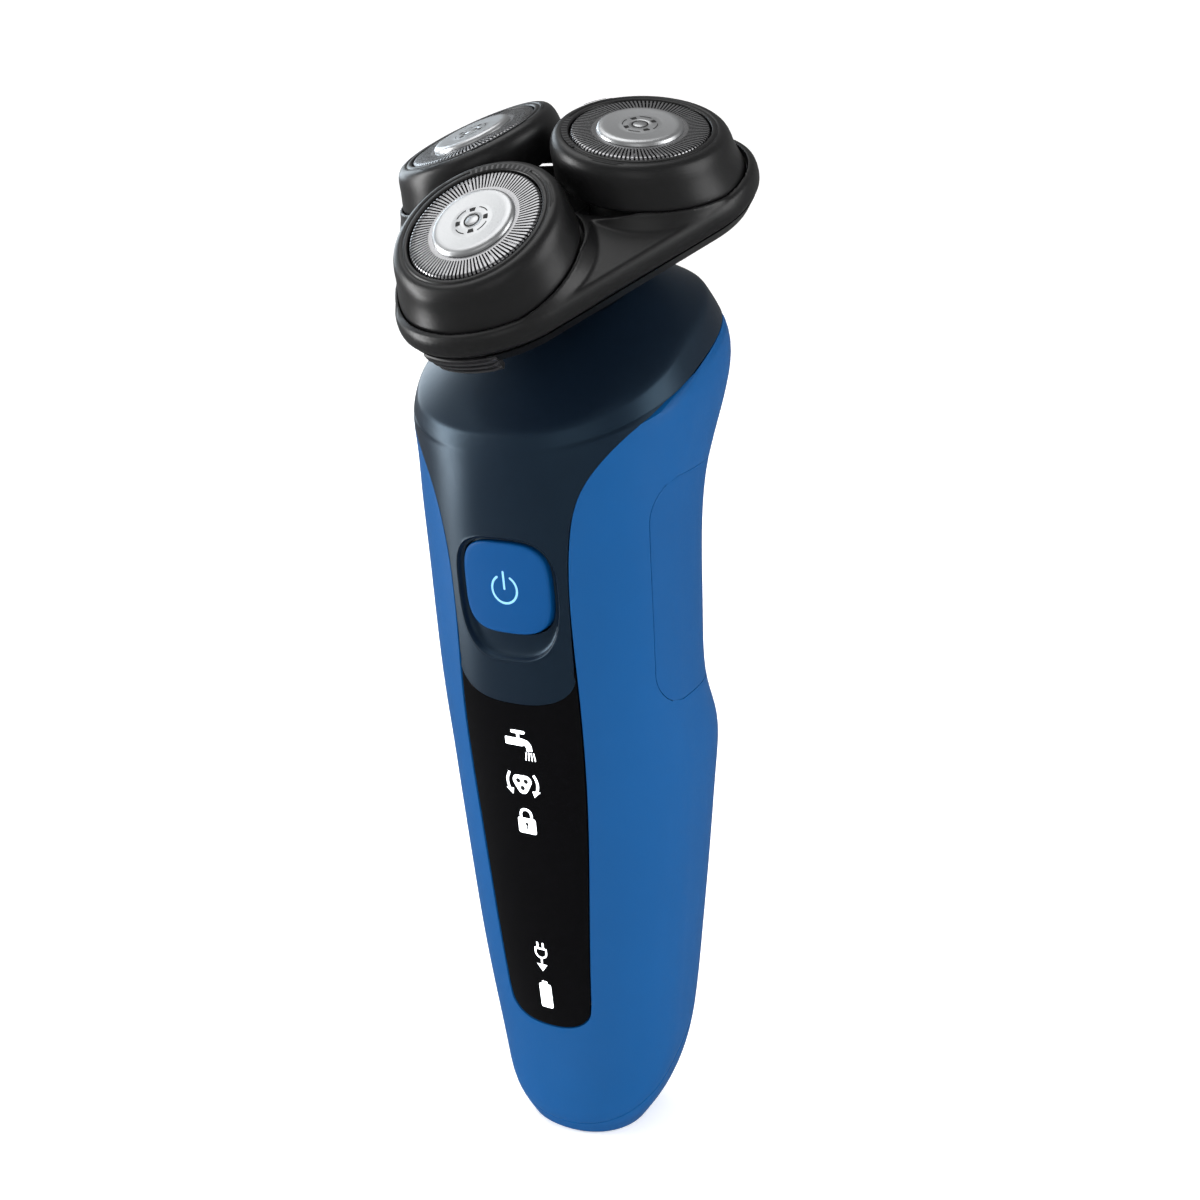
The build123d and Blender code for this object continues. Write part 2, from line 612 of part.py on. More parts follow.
def main():
    os.makedirs("parts", exist_ok=True)
    pieces = make_covers() | make_handle_inside() | make_drive()
    for group in (make_lower_head(), make_release(), make_gears(), make_frame()):
        pieces |= in_head(group)
    for number, angle in enumerate(ANGLES, 1):
        pieces |= make_unit(number, angle)
    for name, shape in pieces.items():
        solids = []
        for item in shape if isinstance(shape, list) else [shape]:
            solids += item.solids()
        export_step(solids[0] if len(solids) == 1 else Compound(solids), f"parts/{name}.step")


main()
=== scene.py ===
import json
import math
from contextlib import contextmanager
from itertools import product

import bmesh
import bpy
import numpy as np
from mathutils import Matrix, Vector


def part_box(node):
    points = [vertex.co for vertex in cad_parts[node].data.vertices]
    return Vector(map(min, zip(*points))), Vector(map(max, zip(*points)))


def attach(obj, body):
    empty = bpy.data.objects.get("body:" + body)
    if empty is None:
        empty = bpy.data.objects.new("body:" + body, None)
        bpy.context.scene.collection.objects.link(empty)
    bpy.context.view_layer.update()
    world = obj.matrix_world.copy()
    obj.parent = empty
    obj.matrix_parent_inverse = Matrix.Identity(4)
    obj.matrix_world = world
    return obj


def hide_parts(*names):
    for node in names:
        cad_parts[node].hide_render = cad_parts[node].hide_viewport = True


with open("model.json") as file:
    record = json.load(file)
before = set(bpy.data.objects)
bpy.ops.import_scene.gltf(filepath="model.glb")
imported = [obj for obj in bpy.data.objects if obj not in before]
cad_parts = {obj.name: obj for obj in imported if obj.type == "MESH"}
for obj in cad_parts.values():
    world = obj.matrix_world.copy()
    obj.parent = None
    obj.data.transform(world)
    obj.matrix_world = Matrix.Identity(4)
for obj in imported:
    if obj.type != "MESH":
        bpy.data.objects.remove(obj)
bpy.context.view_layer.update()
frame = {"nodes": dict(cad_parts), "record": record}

# All shape work is done in millimetres and scaled once, in new_mesh().
MM = 0.001

# ---- handle shape: front y, front z, back y, back z, half width ----
STATIONS = np.array([
    (-10.6, 0.0, 7.5, 0.0, 10.0),
    (-11.75, 3.5, 8.4, 3.5, 12.4),
    (-11.9, 10.0, 12.1, 10.0, 15.1),
    (-12.7, 20.0, 15.8, 20.0, 16.7),
    (-13.5, 30.0, 17.2, 30.0, 17.8),
    (-14.1, 45.0, 19.3, 45.0, 19.2),
    (-14.6, 60.0, 21.4, 60.0, 20.4),
    (-15.0, 68.0, 21.9, 68.0, 20.8),
    (-15.2, 75.0, 18.9, 75.0, 20.7),
    (-15.3, 88.0, 17.6, 88.0, 20.9),
    (-15.5, 100.0, 18.4, 101.0, 21.1),
    (-16.0, 109.0, 22.0, 113.0, 21.6),
    (-16.3, 115.0, 28.6, 124.0, 22.6),
    (-16.2, 118.5, 29.2, 132.0, 22.8),
    (-15.8, 120.5, 25.0, 139.0, 21.0),
])
FRONT_POWER, BACK_POWER, WIDEST = 2.15, 3.0, 0.47
# height and half width of the front strip
STRIP = np.array([(27, 7.8), (45, 9.1), (80, 10.6), (106, 11.1), (113, 13.3), (122.4, 21.0)])
STRIP_FOOT = (27.0, 21.4)  # height of the strip's corners and of its lowest point
LENS_TOP = (85.5, 79.0)  # the same for the edge between cover and lens
CAP_SEAM = (0.762, 10.92)  # seam planes: z = slope * y + height
COLLAR_SEAM = (0.379, 124.27)
CREASE = (0.4534, 127.66)  # plane where the shoulder begins
GRIP_Z = (77.0, 112.0)  # lower and upper end of the waist grip
GRIP_FRONT = -6.0  # y of the grip's front edge
GRIP_CORNER = 6.0
SEAM = 0.10  # half gap between two covers
KEY_Z = 97.3  # height of the power key's centre
KEY = (7.4, 7.1)  # half width and height of the power key

# ---- head ----
# height and tilt of the head, distance and cant of the units
HEAD_Z, TILT, PITCH, CANT = 156.6, math.radians(25.0), 16.5, math.radians(14.4)
ANGLES = tuple(math.radians(a) for a in (-90, 30, 150))
NECK_TOP, NECK_R = -20.0, 12.0
HINGE = (22.0, -12.3)  # behind and above, in the head's own frame
SLOTS = 100  # in each shaving track

HEAD = Matrix((
    (1, 0, 0, 0),
    (0, math.cos(TILT), -math.sin(TILT), 0),
    (0, math.sin(TILT), math.cos(TILT), HEAD_Z),
    (0, 0, 0, 1),
))


def unit_matrix(angle):
    """Frame of one shaving unit in millimetres: z along its axis, y towards the head axis."""
    ca, sa, cc, sc = math.cos(angle), math.sin(angle), math.cos(CANT), math.sin(CANT)
    return HEAD @ Matrix((
        (-sa, -cc * ca, sc * ca, PITCH * ca),
        (ca, -cc * sa, sc * sa, PITCH * sa),
        (0, sc, cc, 0),
        (0, 0, 0, 1),
    ))


# ---- camera, floor and light ----
FLOOR_GLOW, FLOOR_SUN, WORLD_LIGHT = 0.36, 0.38, 0.22  # strengths of the light that whitens the floor


def add_object(name, data):
    made = bpy.data.objects.new(name, data)
    bpy.context.scene.collection.objects.link(made)
    return made


def make_camera():
    data = bpy.data.cameras.new("camera")
    data.lens = 48.0
    data.sensor_width = 36.0
    camera = add_object("camera", data)
    right = Vector((0.86595, 0.49618, -0.06268))
    back = Vector((0.48823, -0.81151, 0.32108)).normalized()
    up = back.cross(right).normalized()
    right = up.cross(back)
    turn = Matrix((right, up, back)).transposed().to_4x4()
    camera.matrix_world = Matrix.Translation((0.1267, -0.1988, 0.1700)) @ turn
    bpy.context.scene.camera = camera


def area_light(name, place, target, size, radiance, colour=(1, 1, 1)):
    """Soft box of a size in metres that shines on a target."""
    data = bpy.data.lights.new(name, "AREA")
    data.shape = "RECTANGLE"
    data.size, data.size_y = size
    data.energy = radiance * math.pi * size[0] * size[1]
    data.color = colour
    lamp = add_object(name, data)
    lamp.location = place
    lamp.rotation_euler = (Vector(target) - Vector(place)).to_track_quat("-Z", "Y").to_euler()


def make_floor():
    """Pale round floor that bends up into a wall on every side."""
    flat, bend, height = 2.4, 0.9, 3.0
    profile = [(0.001, 0.0), (flat / 2, 0.0)]
    profile += [(flat + bend * math.sin(a), bend * (1 - math.cos(a)))
                for a in np.linspace(0, math.pi / 2, 16)]
    profile.append((flat + bend, height))
    points, faces = lathe(profile, 96)
    mesh = bpy.data.meshes.new("floor")
    mesh.from_pydata(points, [], faces)
    for polygon in mesh.polygons:
        polygon.use_smooth = True
    floor = add_object("floor", mesh)
    made, _ = new_material("floor", {
        "Base Color": (0.90, 0.90, 0.90, 1), "Roughness": 0.9, "Specular IOR Level": 0.1,
        "Emission Color": (1, 1, 1, 1), "Emission Strength": FLOOR_GLOW,
    })
    mesh.materials.append(made)
    floor.visible_glossy = False
    return floor


def make_stage():
    """Floor kept near white by a light of its own, soft boxes on the object."""
    floor = make_floor()
    only_floor = bpy.data.collections.new("floor_light")
    only_floor.objects.link(floor)
    data = bpy.data.lights.new("floor_sun", "SUN")
    data.energy = FLOOR_SUN
    data.angle = math.radians(60)
    add_object("floor_sun", data).light_linking.receiver_collection = only_floor
    world = bpy.data.worlds.new("world")
    world.use_nodes = True
    colour, strength = world.node_tree.nodes["Background"].inputs[:2]
    colour.default_value = (1, 1, 1, 1)
    strength.default_value = WORLD_LIGHT
    bpy.context.scene.world = world
    middle = (0, 0, 0.09)
    area_light("left_softbox", (-0.50, -0.22, 0.16), middle, (0.16, 0.5), 11.0)
    area_light("left_back_softbox", (-0.62, 0.30, 0.36), middle, (0.34, 0.40), 3.6, (0.82, 0.92, 1.0))
    area_light("top_softbox", (-0.18, 0.02, 0.72), (0, 0, 0.15), (0.50, 0.46), 1.65)
    area_light("right_softbox", (0.62, 0.10, 0.30), middle, (0.36, 0.5), 3.0)
    area_light("front_fill", (0.30, -0.75, 0.30), middle, (0.5, 0.5), 0.6)
    bpy.context.scene.view_settings.view_transform = "Standard"


# ---- materials ----
GRAIN_DEPTH = 0.0002  # metres
DRIFT_SCALE = 35.0  # how fine the slow change of colour is
ROUGH_SPREAD = 0.04


def new_material(name, values):
    """Material with shader inputs set by name."""
    made = bpy.data.materials.new(name)
    made.use_nodes = True
    shader = made.node_tree.nodes["Principled BSDF"]
    for label, value in values.items():
        shader.inputs[label].default_value = value
    return made, shader


def noise_node(tree, where, scale, detail):
    noise = tree.nodes.new("ShaderNodeTexNoise")
    noise.inputs["Scale"].default_value = scale
    noise.inputs["Detail"].default_value = detail
    tree.links.new(where.outputs["Object"], noise.inputs["Vector"])
    return noise


def material(name, colour, rough, metallic=0.0, coat=0.0, grain=(900.0, 0.03), vary=0.04,
             shine=0.5, tint=(1, 1, 1)):
    """Moulded or metal surface: fine grain in bump and roughness, slight colour drift."""
    made, shader = new_material(name, {
        "Metallic": metallic, "Specular IOR Level": shine, "Specular Tint": (*tint, 1),
        "Coat Weight": coat, "Coat Roughness": 0.08,
    })
    tree = made.node_tree
    where = tree.nodes.new("ShaderNodeTexCoord")
    fine = noise_node(tree, where, grain[0], 4.0)
    bump = tree.nodes.new("ShaderNodeBump")
    bump.inputs["Strength"].default_value = grain[1]
    bump.inputs["Distance"].default_value = GRAIN_DEPTH
    tree.links.new(fine.outputs["Fac"], bump.inputs["Height"])
    tree.links.new(bump.outputs["Normal"], shader.inputs["Normal"])
    broad = noise_node(tree, where, DRIFT_SCALE, 3.0)
    ramp = tree.nodes.new("ShaderNodeValToRGB")
    for element, position, factor in zip(ramp.color_ramp.elements, (0.3, 0.7), (1 - vary, 1 + vary)):
        element.position = position
        element.color = (*(min(1.0, c * factor) for c in colour), 1)
    tree.links.new(broad.outputs["Fac"], ramp.inputs["Fac"])
    tree.links.new(ramp.outputs["Color"], shader.inputs["Base Color"])
    spread = tree.nodes.new("ShaderNodeMapRange")
    spread.inputs["To Min"].default_value = max(0.02, rough - ROUGH_SPREAD)
    spread.inputs["To Max"].default_value = rough + ROUGH_SPREAD
    tree.links.new(fine.outputs["Fac"], spread.inputs["Value"])
    tree.links.new(spread.outputs["Result"], shader.inputs["Roughness"])
    return made


def glow(name, colour, strength):
    """Lit pictogram or lamp."""
    return new_material(name, {
        "Base Color": (*colour, 1), "Roughness": 0.4,
        "Emission Color": (*colour, 1), "Emission Strength": strength,
    })[0]


def metal(name, colour, rough):
    """Ground or spun metal with fine scratches."""
    return material(name, colour, rough, metallic=1.0, grain=(2600.0, 0.06), vary=0.05)


SMOOTH, SATIN, MOULDED = (1600, 0.02), (1800, 0.05), (1500, 0.04)  # grain: fineness, strength
PLASTICS = {  # colour, roughness, what else differs
    "navy_gloss": ((0.004, 0.009, 0.019), 0.36, dict(grain=SMOOTH, tint=(0.45, 0.74, 1.0))),
    "blue_satin": ((0.002, 0.074, 0.240), 0.42, dict(grain=SATIN, shine=0.15)),
    "grip_blue": ((0.002, 0.071, 0.231), 0.46, dict(grain=(1800, 0.07), shine=0.15)),
    "lens_black": ((0.002, 0.002, 0.0025), 0.12, dict(grain=(400, 0.002), shine=0.12)),
    "button_blue": ((0.001, 0.060, 0.205), 0.42, dict(grain=SATIN, shine=0.10)),
    "head_black": ((0.006, 0.006, 0.0065), 0.36, dict(grain=MOULDED, shine=0.45)),
    "gear_white": ((0.78, 0.77, 0.72), 0.45, {}),
    "chassis_grey": ((0.06, 0.065, 0.07), 0.5, {}),
    "board_green": ((0.01, 0.10, 0.04), 0.35, dict(coat=0.3)),
    "cell_wrap": ((0.02, 0.20, 0.16), 0.30, {}),
    "magnet": ((0.05, 0.05, 0.05), 0.55, dict(metallic=0.6)),
    "rubber": ((0.02, 0.02, 0.02), 0.7, dict(grain=(1200, 0.1))),
    "guide_clear": ((0.6, 0.66, 0.7), 0.2, {}),
    # lighter copy of head_black for the release tab: painted highlight of the light on its ribs
    "tab_painted_highlight": ((0.022, 0.022, 0.024), 0.42, dict(grain=(1500, 0.05))),
    # lighter copy of head_black for the ring's comb: painted highlight of the light on its fine ribs
    "comb_painted_highlight": ((0.055, 0.055, 0.058), 0.32, dict(grain=(1500, 0.03))),
    # near black: dark pictogram details on the lens, and painted shade in slots, grooves, seams and
    # pressed marks
    "icon_dark_and_painted_gap_shade": ((0.006, 0.006, 0.006), 0.6, {}),
}
METALS = {
    "guard_steel": ((0.42, 0.42, 0.43), 0.28),
    "cap_chrome": ((0.60, 0.61, 0.62), 0.37),
    "steel": ((0.55, 0.55, 0.57), 0.30),
    "brass": ((0.72, 0.50, 0.20), 0.28),
}
LIT = {  # colour, strength
    "led_white": ((0.9, 0.95, 1.0), 1.5),
    "icon_white": ((0.92, 0.96, 1.0), 2.2),
    "icon_blue": ((0.22, 0.52, 0.85), 0.25),
}
MATERIALS = {name: material(name, *look, **rest) for name, (*look, rest) in PLASTICS.items()}
MATERIALS.update({name: metal(name, *look) for name, look in METALS.items()})
MATERIALS.update({name: glow(name, *look) for name, look in LIT.items()})


def paint_cad():
    """Every carried-over CAD node gets the finish of its material slot."""
    slots = {s["node"]: s["material_slot"] for s in frame["record"]["subparts"]}
    for name, node in frame["nodes"].items():
        made = MATERIALS[slots[name]]
        if not node.material_slots:
            node.data.materials.append(made)
        for slot in node.material_slots:
            slot.material = made


# ---- mesh helpers ----
def new_mesh(name, shape, body, slot, finish=None, nodes=()):
    """Object from millimetre points; rides on a body and may stand for CAD nodes."""
    points, faces = shape
    mesh = bpy.data.meshes.new(name)
    mesh.from_pydata([tuple(float(c) * MM for c in p) for p in points], [], faces)
    mesh.validate()
    piece = add_object(name, mesh)
    mesh.materials.append(MATERIALS[finish or slot])
    for polygon in mesh.polygons:
        polygon.use_smooth = True
    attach(piece, body)
    if nodes:
        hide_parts(*nodes)
    return piece


@contextmanager
def editing(data):
    """Mesh data opened for editing, then written back."""
    mesh = bmesh.new()
    mesh.from_mesh(data)
    yield mesh
    mesh.to_mesh(data)
    mesh.free()


def weld(piece, distance=2e-6):
    """Joins coincident points, turns the faces outward together."""
    with editing(piece.data) as mesh:
        bmesh.ops.remove_doubles(mesh, verts=mesh.verts, dist=distance)
        bmesh.ops.recalc_face_normals(mesh, faces=mesh.faces)


def crisp(piece, degrees):
    """Smooth shading, with edges sharper than the given angle kept crisp."""
    limit = math.radians(degrees)
    with editing(piece.data) as mesh:
        for edge in mesh.edges:
            edge.smooth = len(edge.link_faces) == 2 and edge.calc_face_angle(0) < limit
        for face in mesh.faces:
            face.smooth = True


def apply_modifiers(piece):
    depsgraph = bpy.context.evaluated_depsgraph_get()
    mesh = bpy.data.meshes.new_from_object(piece.evaluated_get(depsgraph))
    piece.modifiers.clear()
    piece.data = mesh


def face_outward(piece):
    """Turns the faces of an open skin away from the handle's middle."""
    middle = Vector((0.0, 0.003))
    with editing(piece.data) as mesh:
        mesh.normal_update()
        lean = sum(face.normal.xy.dot(face.calc_center_median().xy - middle) * face.calc_area()
                   for face in mesh.faces)
        if lean < 0:
            bmesh.ops.reverse_faces(mesh, faces=mesh.faces)


def add_wall(piece, thickness):
    solid = piece.modifiers.new("wall", "SOLIDIFY")
    solid.thickness = thickness * MM
    solid.offset = -1.0


def thicken(piece, thickness, edge):
    """Gives an open skin its wall on the inside, with softened rims."""
    face_outward(piece)
    add_wall(piece, thickness)
    bevel = piece.modifiers.new("rim", "BEVEL")
    bevel.width = edge * MM
    bevel.segments = 3
    bevel.limit_method = "ANGLE"
    bevel.angle_limit = math.radians(50)
    bevel.harden_normals = False
    apply_modifiers(piece)
    crisp(piece, 45)


def grid_faces(rows, columns, closed=False):
    faces = []
    for i in range(rows - 1):
        for j in range(columns if closed else columns - 1):
            k = (j + 1) % columns
            faces.append((i * columns + j, i * columns + k, (i + 1) * columns + k, (i + 1) * columns + j))
    return faces


def polar(radius, turn, height):
    return radius * math.cos(turn), radius * math.sin(turn), height


def lathe(profile, count):
    """Rings about local z through (radius, height) or (radius, shift towards -y, height)."""
    points = []
    for radius, *shift, height in profile:
        for k in range(count):
            x, y, z = polar(radius, 2 * math.pi * k / count, height)
            points.append((x, y - sum(shift), z))
    return points, grid_faces(len(profile), count, closed=True)


def merge(shapes):
    """Points and faces of several shapes in one."""
    points, faces = [], []
    for more, sides in shapes:
        base = len(points)
        points.extend(map(tuple, more))
        faces += [tuple(base + i for i in side) for side in sides]
    return points, faces


def place(shape, matrix):
    points, faces = shape
    return [tuple(matrix @ Vector(p)) for p in points], faces


# ---- handle surface ----
def natural_spline(x, y):
    """Smooth curve through y(x), straight at both ends; y may have columns."""
    x, y = np.asarray(x, float), np.asarray(y, float)
    flat = y.reshape(len(x), -1)
    h = np.diff(x)
    n = len(x)
    matrix, right = np.eye(n), np.zeros_like(flat)
    for i in range(1, n - 1):
        matrix[i, i - 1:i + 2] = h[i - 1], 2 * (h[i - 1] + h[i]), h[i]
        right[i] = 6 * ((flat[i + 1] - flat[i]) / h[i] - (flat[i] - flat[i - 1]) / h[i - 1])
    bend = np.linalg.solve(matrix, right)

    def value(at):
        at = np.asarray(at, float)
        i = np.clip(np.searchsorted(x, at) - 1, 0, n - 2)
        a, b = (x[i + 1] - at) / h[i], (at - x[i]) / h[i]
        a, b, hi = a[..., None], b[..., None], h[i][..., None]
        curve = (a ** 3 - a) * bend[i] + (b ** 3 - b) * bend[i + 1]
        curve = a * flat[i] + b * flat[i + 1] + curve * hi ** 2 / 6
        return curve.reshape(at.shape + y.shape[1:])

    return value


STEPS = np.concatenate([[0], np.cumsum(np.hypot(
    np.diff((STATIONS[:, 0] + STATIONS[:, 2]) / 2), np.diff((STATIONS[:, 1] + STATIONS[:, 3]) / 2)))])
section_at = natural_spline(STEPS, STATIONS)
strip_half = natural_spline(STRIP[:, 0], STRIP[:, 1])


def body_point(phi, step, inset=0.0):
    """Point on the handle in direction phi (-90 deg is the front) at a step along it."""
    yf, zf, yb, zb, half = np.moveaxis(section_at(step), -1, 0)
    yf, yb, half = yf + inset, yb - inset, half - inset
    c, s = np.cos(phi), np.sin(phi)
    power = np.where(s < 0, FRONT_POWER, BACK_POWER)
    reach = (np.abs(c) ** power + np.abs(s) ** power) ** (-1 / power)
    share = np.where(s < 0, WIDEST, 1 - WIDEST)
    v = WIDEST + share * reach * s
    return np.stack([half * reach * c, yf + v * (yb - yf), zf + v * (zb - zf)], -1)


def halve(positive, low, high, rounds):
    """Where positive(value) turns true between low and high, by repeated halving."""
    for _ in range(rounds):
        middle = (low + high) / 2
        found = positive(middle)
        high = np.where(found, middle, high)
        low = np.where(found, low, middle)
    return (low + high) / 2


def step_on_plane(phi, slope, height, inset=0.0):
    """Step at which direction phi crosses the plane z = slope * y + height."""
    def above(step):
        point = body_point(phi, step, inset)
        return point[..., 2] - slope * point[..., 1] - height > 0

    low = np.zeros(np.broadcast(phi, slope, height).shape)
    return halve(above, low, low + STEPS[-1], 26)


def on_plane(phi, slope, height, inset=0.0):
    return body_point(phi, step_on_plane(phi, slope, height, inset), inset)


def phi_where(test, slope, height, low, high):
    """Direction between low and high where test(point) turns positive on each plane."""
    low, high = (np.full(np.shape(height), end, float) for end in (low, high))
    return halve(lambda phi: test(on_plane(phi, slope, height)) > 0, low, high, 24)


def strip_width(z):
    return np.where(z < STRIP[0, 0], STRIP[0, 1], strip_half(np.maximum(z, STRIP[0, 0])))


def strip_phi(slope, height):
    """Direction of the right-hand edge of the front strip on each plane."""
    return phi_where(lambda p: p[..., 0] - strip_width(p[..., 2]), slope, height, -math.pi / 2, 0.0)


def strip_reach(slope, height):
    """Turn from the front to the strip's edge on the last of the planes."""
    return strip_phi(slope[-1:], height[-1:])[0] + math.pi / 2


def arch(u, corner, middle, power=2.7):
    """Height of a rounded lower edge across the strip, u from -1 to 1."""
    return corner - (corner - middle) * (1 - np.minimum(1, np.abs(u)) ** power) ** (1 / power)


def front_y(x, z, inset=0.0):
    """Front surface of the handle below the collar, as y over x and z."""
    x, z = np.asarray(x, float), np.asarray(z, float)
    steps = np.linspace(0, STEPS[-1], 400)
    yf, _, yb, _, half = np.moveaxis(section_at(np.interp(z, section_at(steps)[:, 1], steps)), -1, 0)
    rise = (1 - np.minimum(1, np.abs(x) / (half - inset)) ** FRONT_POWER) ** (1 / FRONT_POWER)
    middle = yf + WIDEST * (yb - yf)
    return middle - (middle - yf - inset) * rise


def plane_ladder(anchors, counts):
    """Planes between anchor planes: arrays of slope and height, one entry per row."""
    planes = []
    for low, high, count in zip(np.array(anchors, float), np.array(anchors[1:], float), counts):
        planes += [(1 - k / count) * low + k / count * high for k in range(count)]
    return np.array(planes + [anchors[-1]]).T


def grip_edge(z):
    """Front edge of the waist grip in side view, with its rounded corners."""
    low, high = GRIP_Z
    near = np.minimum(z - low, high - z)
    inside = np.clip(near, 0, GRIP_CORNER)
    corner = GRIP_CORNER * (1 - np.sqrt(np.maximum(0, 1 - ((GRIP_CORNER - inside) / GRIP_CORNER) ** 2)))
    return GRIP_FRONT + np.where(near >= GRIP_CORNER, 0, np.where(near <= 0, GRIP_CORNER, corner))


# ---- handle covers ----
RECESS = (8.9, 8.0, 11.6)  # half width, height above and below the key centre
RECESS_POWER = 2.9  # how square the recess is
RECESS_GRID = (64, 80)  # columns and rows of the grid inside the recess outline
COVER_JOIN = 108.0  # height where the cover starts to spread to the collar
COVER_TRIM = 0.14  # gap between the cover and the shell at either side
LENS_INSET = 0.12  # how deep the lens lies under the handle's surface
LIP = (  # inward from the recess outline, its limit, depth share
    (0.10, 0.05, -0.05), (0.22, 0.11, -0.06), (0.34, 0.17, -0.01), (0.48, 0.25, 0.15), (0.66, 0.34, 0.42),
    (0.90, 0.46, 0.72), (1.6, 0.62, 0.92), (2.6, 0.80, 0.99), (9.0, 0.93, 1.0), (9.0, 1.0, 1.0),
)
COLLAR_LOW = (COLLAR_SEAM[0], COLLAR_SEAM[1] - SEAM)
COLLAR_HIGH = (COLLAR_SEAM[0], COLLAR_SEAM[1] + SEAM)
SIDE_COLUMNS, BACK_COLUMNS, STRIP_COLUMNS = 28, 90, 97


def around_columns(slope, height):
    """Directions from the right edge of the strip round the back to its left edge."""
    a = strip_phi(slope, height)
    b = phi_where(lambda p: p[..., 1] - grip_edge(p[..., 2]), slope, height, -math.pi / 2, 1.2)
    b = np.maximum(b, a + 0.15)
    side = a[:, None] + (b - a)[:, None] * np.linspace(0, 1, SIDE_COLUMNS, endpoint=False)
    back = b[:, None] + (math.pi - 2 * b)[:, None] * np.linspace(0, 1, BACK_COLUMNS)
    return np.concatenate([side, back, math.pi - side[:, ::-1]], 1)


def around_patch(anchors, counts):
    slopes, heights = plane_ladder(anchors, counts)
    phi = around_columns(slopes, heights)
    return on_plane(phi, slopes[:, None], heights[:, None])


def strip_rows(top, bottom, rows, columns=STRIP_COLUMNS, shrink=0.0, inset=0.0):
    """Rows across the strip between two edges given as (slope, height over u)."""
    u = np.linspace(-1, 1, columns)
    points = []
    for k in range(rows):
        t = k / (rows - 1)
        slope = (1 - t) * bottom[0] + t * top[0] + 0 * u
        height = (1 - t) * bottom[1](u) + t * top[1](u)
        phi = u * strip_reach(slope, height) * (1 - shrink) - math.pi / 2
        points.append(on_plane(phi, slope, height, inset))
    return np.array(points)


def flat_height(value):
    return lambda u: value + 0 * u


def patch_shape(patch, keep=lambda i, j: True):
    """Points and faces of a rows x columns patch; keep(i, j) may drop faces."""
    rows, columns = patch.shape[:2]
    corners = [i * columns + j for i in range(rows - 1) for j in range(columns - 1) if keep(i, j)]
    return patch.reshape(-1, 3), [(a, a + 1, a + 1 + columns, a + columns) for a in corners]


def make_rear_shell():
    low, high = GRIP_Z
    cap = (CAP_SEAM[0], CAP_SEAM[1] + SEAM)
    counts = (14, 50, 44, 14)
    around = around_patch([cap, (0, STRIP_FOOT[0]), (0, low), (0, high), COLLAR_LOW], counts)
    first = counts[0] + counts[1]
    last = first + counts[2]

    def outside_grip(i, j):
        return not (first <= i < last and SIDE_COLUMNS <= j < SIDE_COLUMNS + BACK_COLUMNS - 1)

    top = (0, lambda u: arch(u, *STRIP_FOOT))
    foot = strip_rows(top, (cap[0], flat_height(cap[1])), counts[0] + 1)
    shape = merge([patch_shape(around, outside_grip), patch_shape(foot)])
    shell = new_mesh("rear_shell_skin", shape, "handle", "blue_satin", nodes=["rear_shell"])
    weld(shell, 4e-6)
    thicken(shell, 1.7, 0.1)


def make_grip_panel():
    low, high = GRIP_Z
    trim = 0.06
    slopes, heights = plane_ladder([(0, low), (0, high)], (60,))
    phi = around_columns(slopes, heights)[:, SIDE_COLUMNS:SIDE_COLUMNS + BACK_COLUMNS]
    middle = math.pi / 2
    phi = middle + (phi - middle) * (1 - trim / 22.0)
    heights = low + trim + (heights - low) * (high - low - 2 * trim) / (high - low)
    patch = on_plane(phi, 0, heights[:, None], 0.02)
    panel = new_mesh("grip_panel_skin", patch_shape(patch), "handle", "grip_blue", nodes=["grip_panel"])
    weld(panel)
    thicken(panel, 0.9, 0.08)


def make_lens():
    bottom = (0, lambda u: arch(u, *STRIP_FOOT) + 2 * SEAM)
    top = (0, lambda u: arch(u, *LENS_TOP) - 0.02)
    patch = strip_rows(top, bottom, 110, 61, shrink=0.022, inset=LENS_INSET)
    lens = new_mesh("display_lens", patch_shape(patch), "handle", "lens_black", nodes=["display_window"])
    weld(lens)
    thicken(lens, 1.2, 0.2)


def squircle(direction, power):
    """Factor that takes a point on the unit square's border to a rounded outline."""
    return np.maximum((np.abs(direction) ** power).sum(-1), 1e-9) ** (-1 / power)


def key_outline(direction, grow=0.0):
    """Point of the power key's outline in a direction given on the unit square's border."""
    spot = direction * squircle(direction, 3.4)[..., None] * (KEY[0] + grow, KEY[1] + grow)
    return spot[..., 0], spot[..., 1] + KEY_Z


def border(count):
    """Directions on the unit square's border, counter-clockwise from its lower left corner."""
    rising, one = np.linspace(-1, 1, count + 1)[:-1], np.ones(count)
    sides = (rising, -one), (one, rising), (-rising, one), (-one, -rising)
    return np.concatenate([np.stack(side, -1) for side in sides])


def surface_at(x, z):
    """Exact front surface as y over x and z, by search."""
    x, z = np.asarray(x, float), np.asarray(z, float)
    phi = phi_where(lambda p: p[..., 0] - x, 0 * z, z, -math.pi + 0.02, -0.02)
    return on_plane(phi, 0 * z, z)[..., 1]


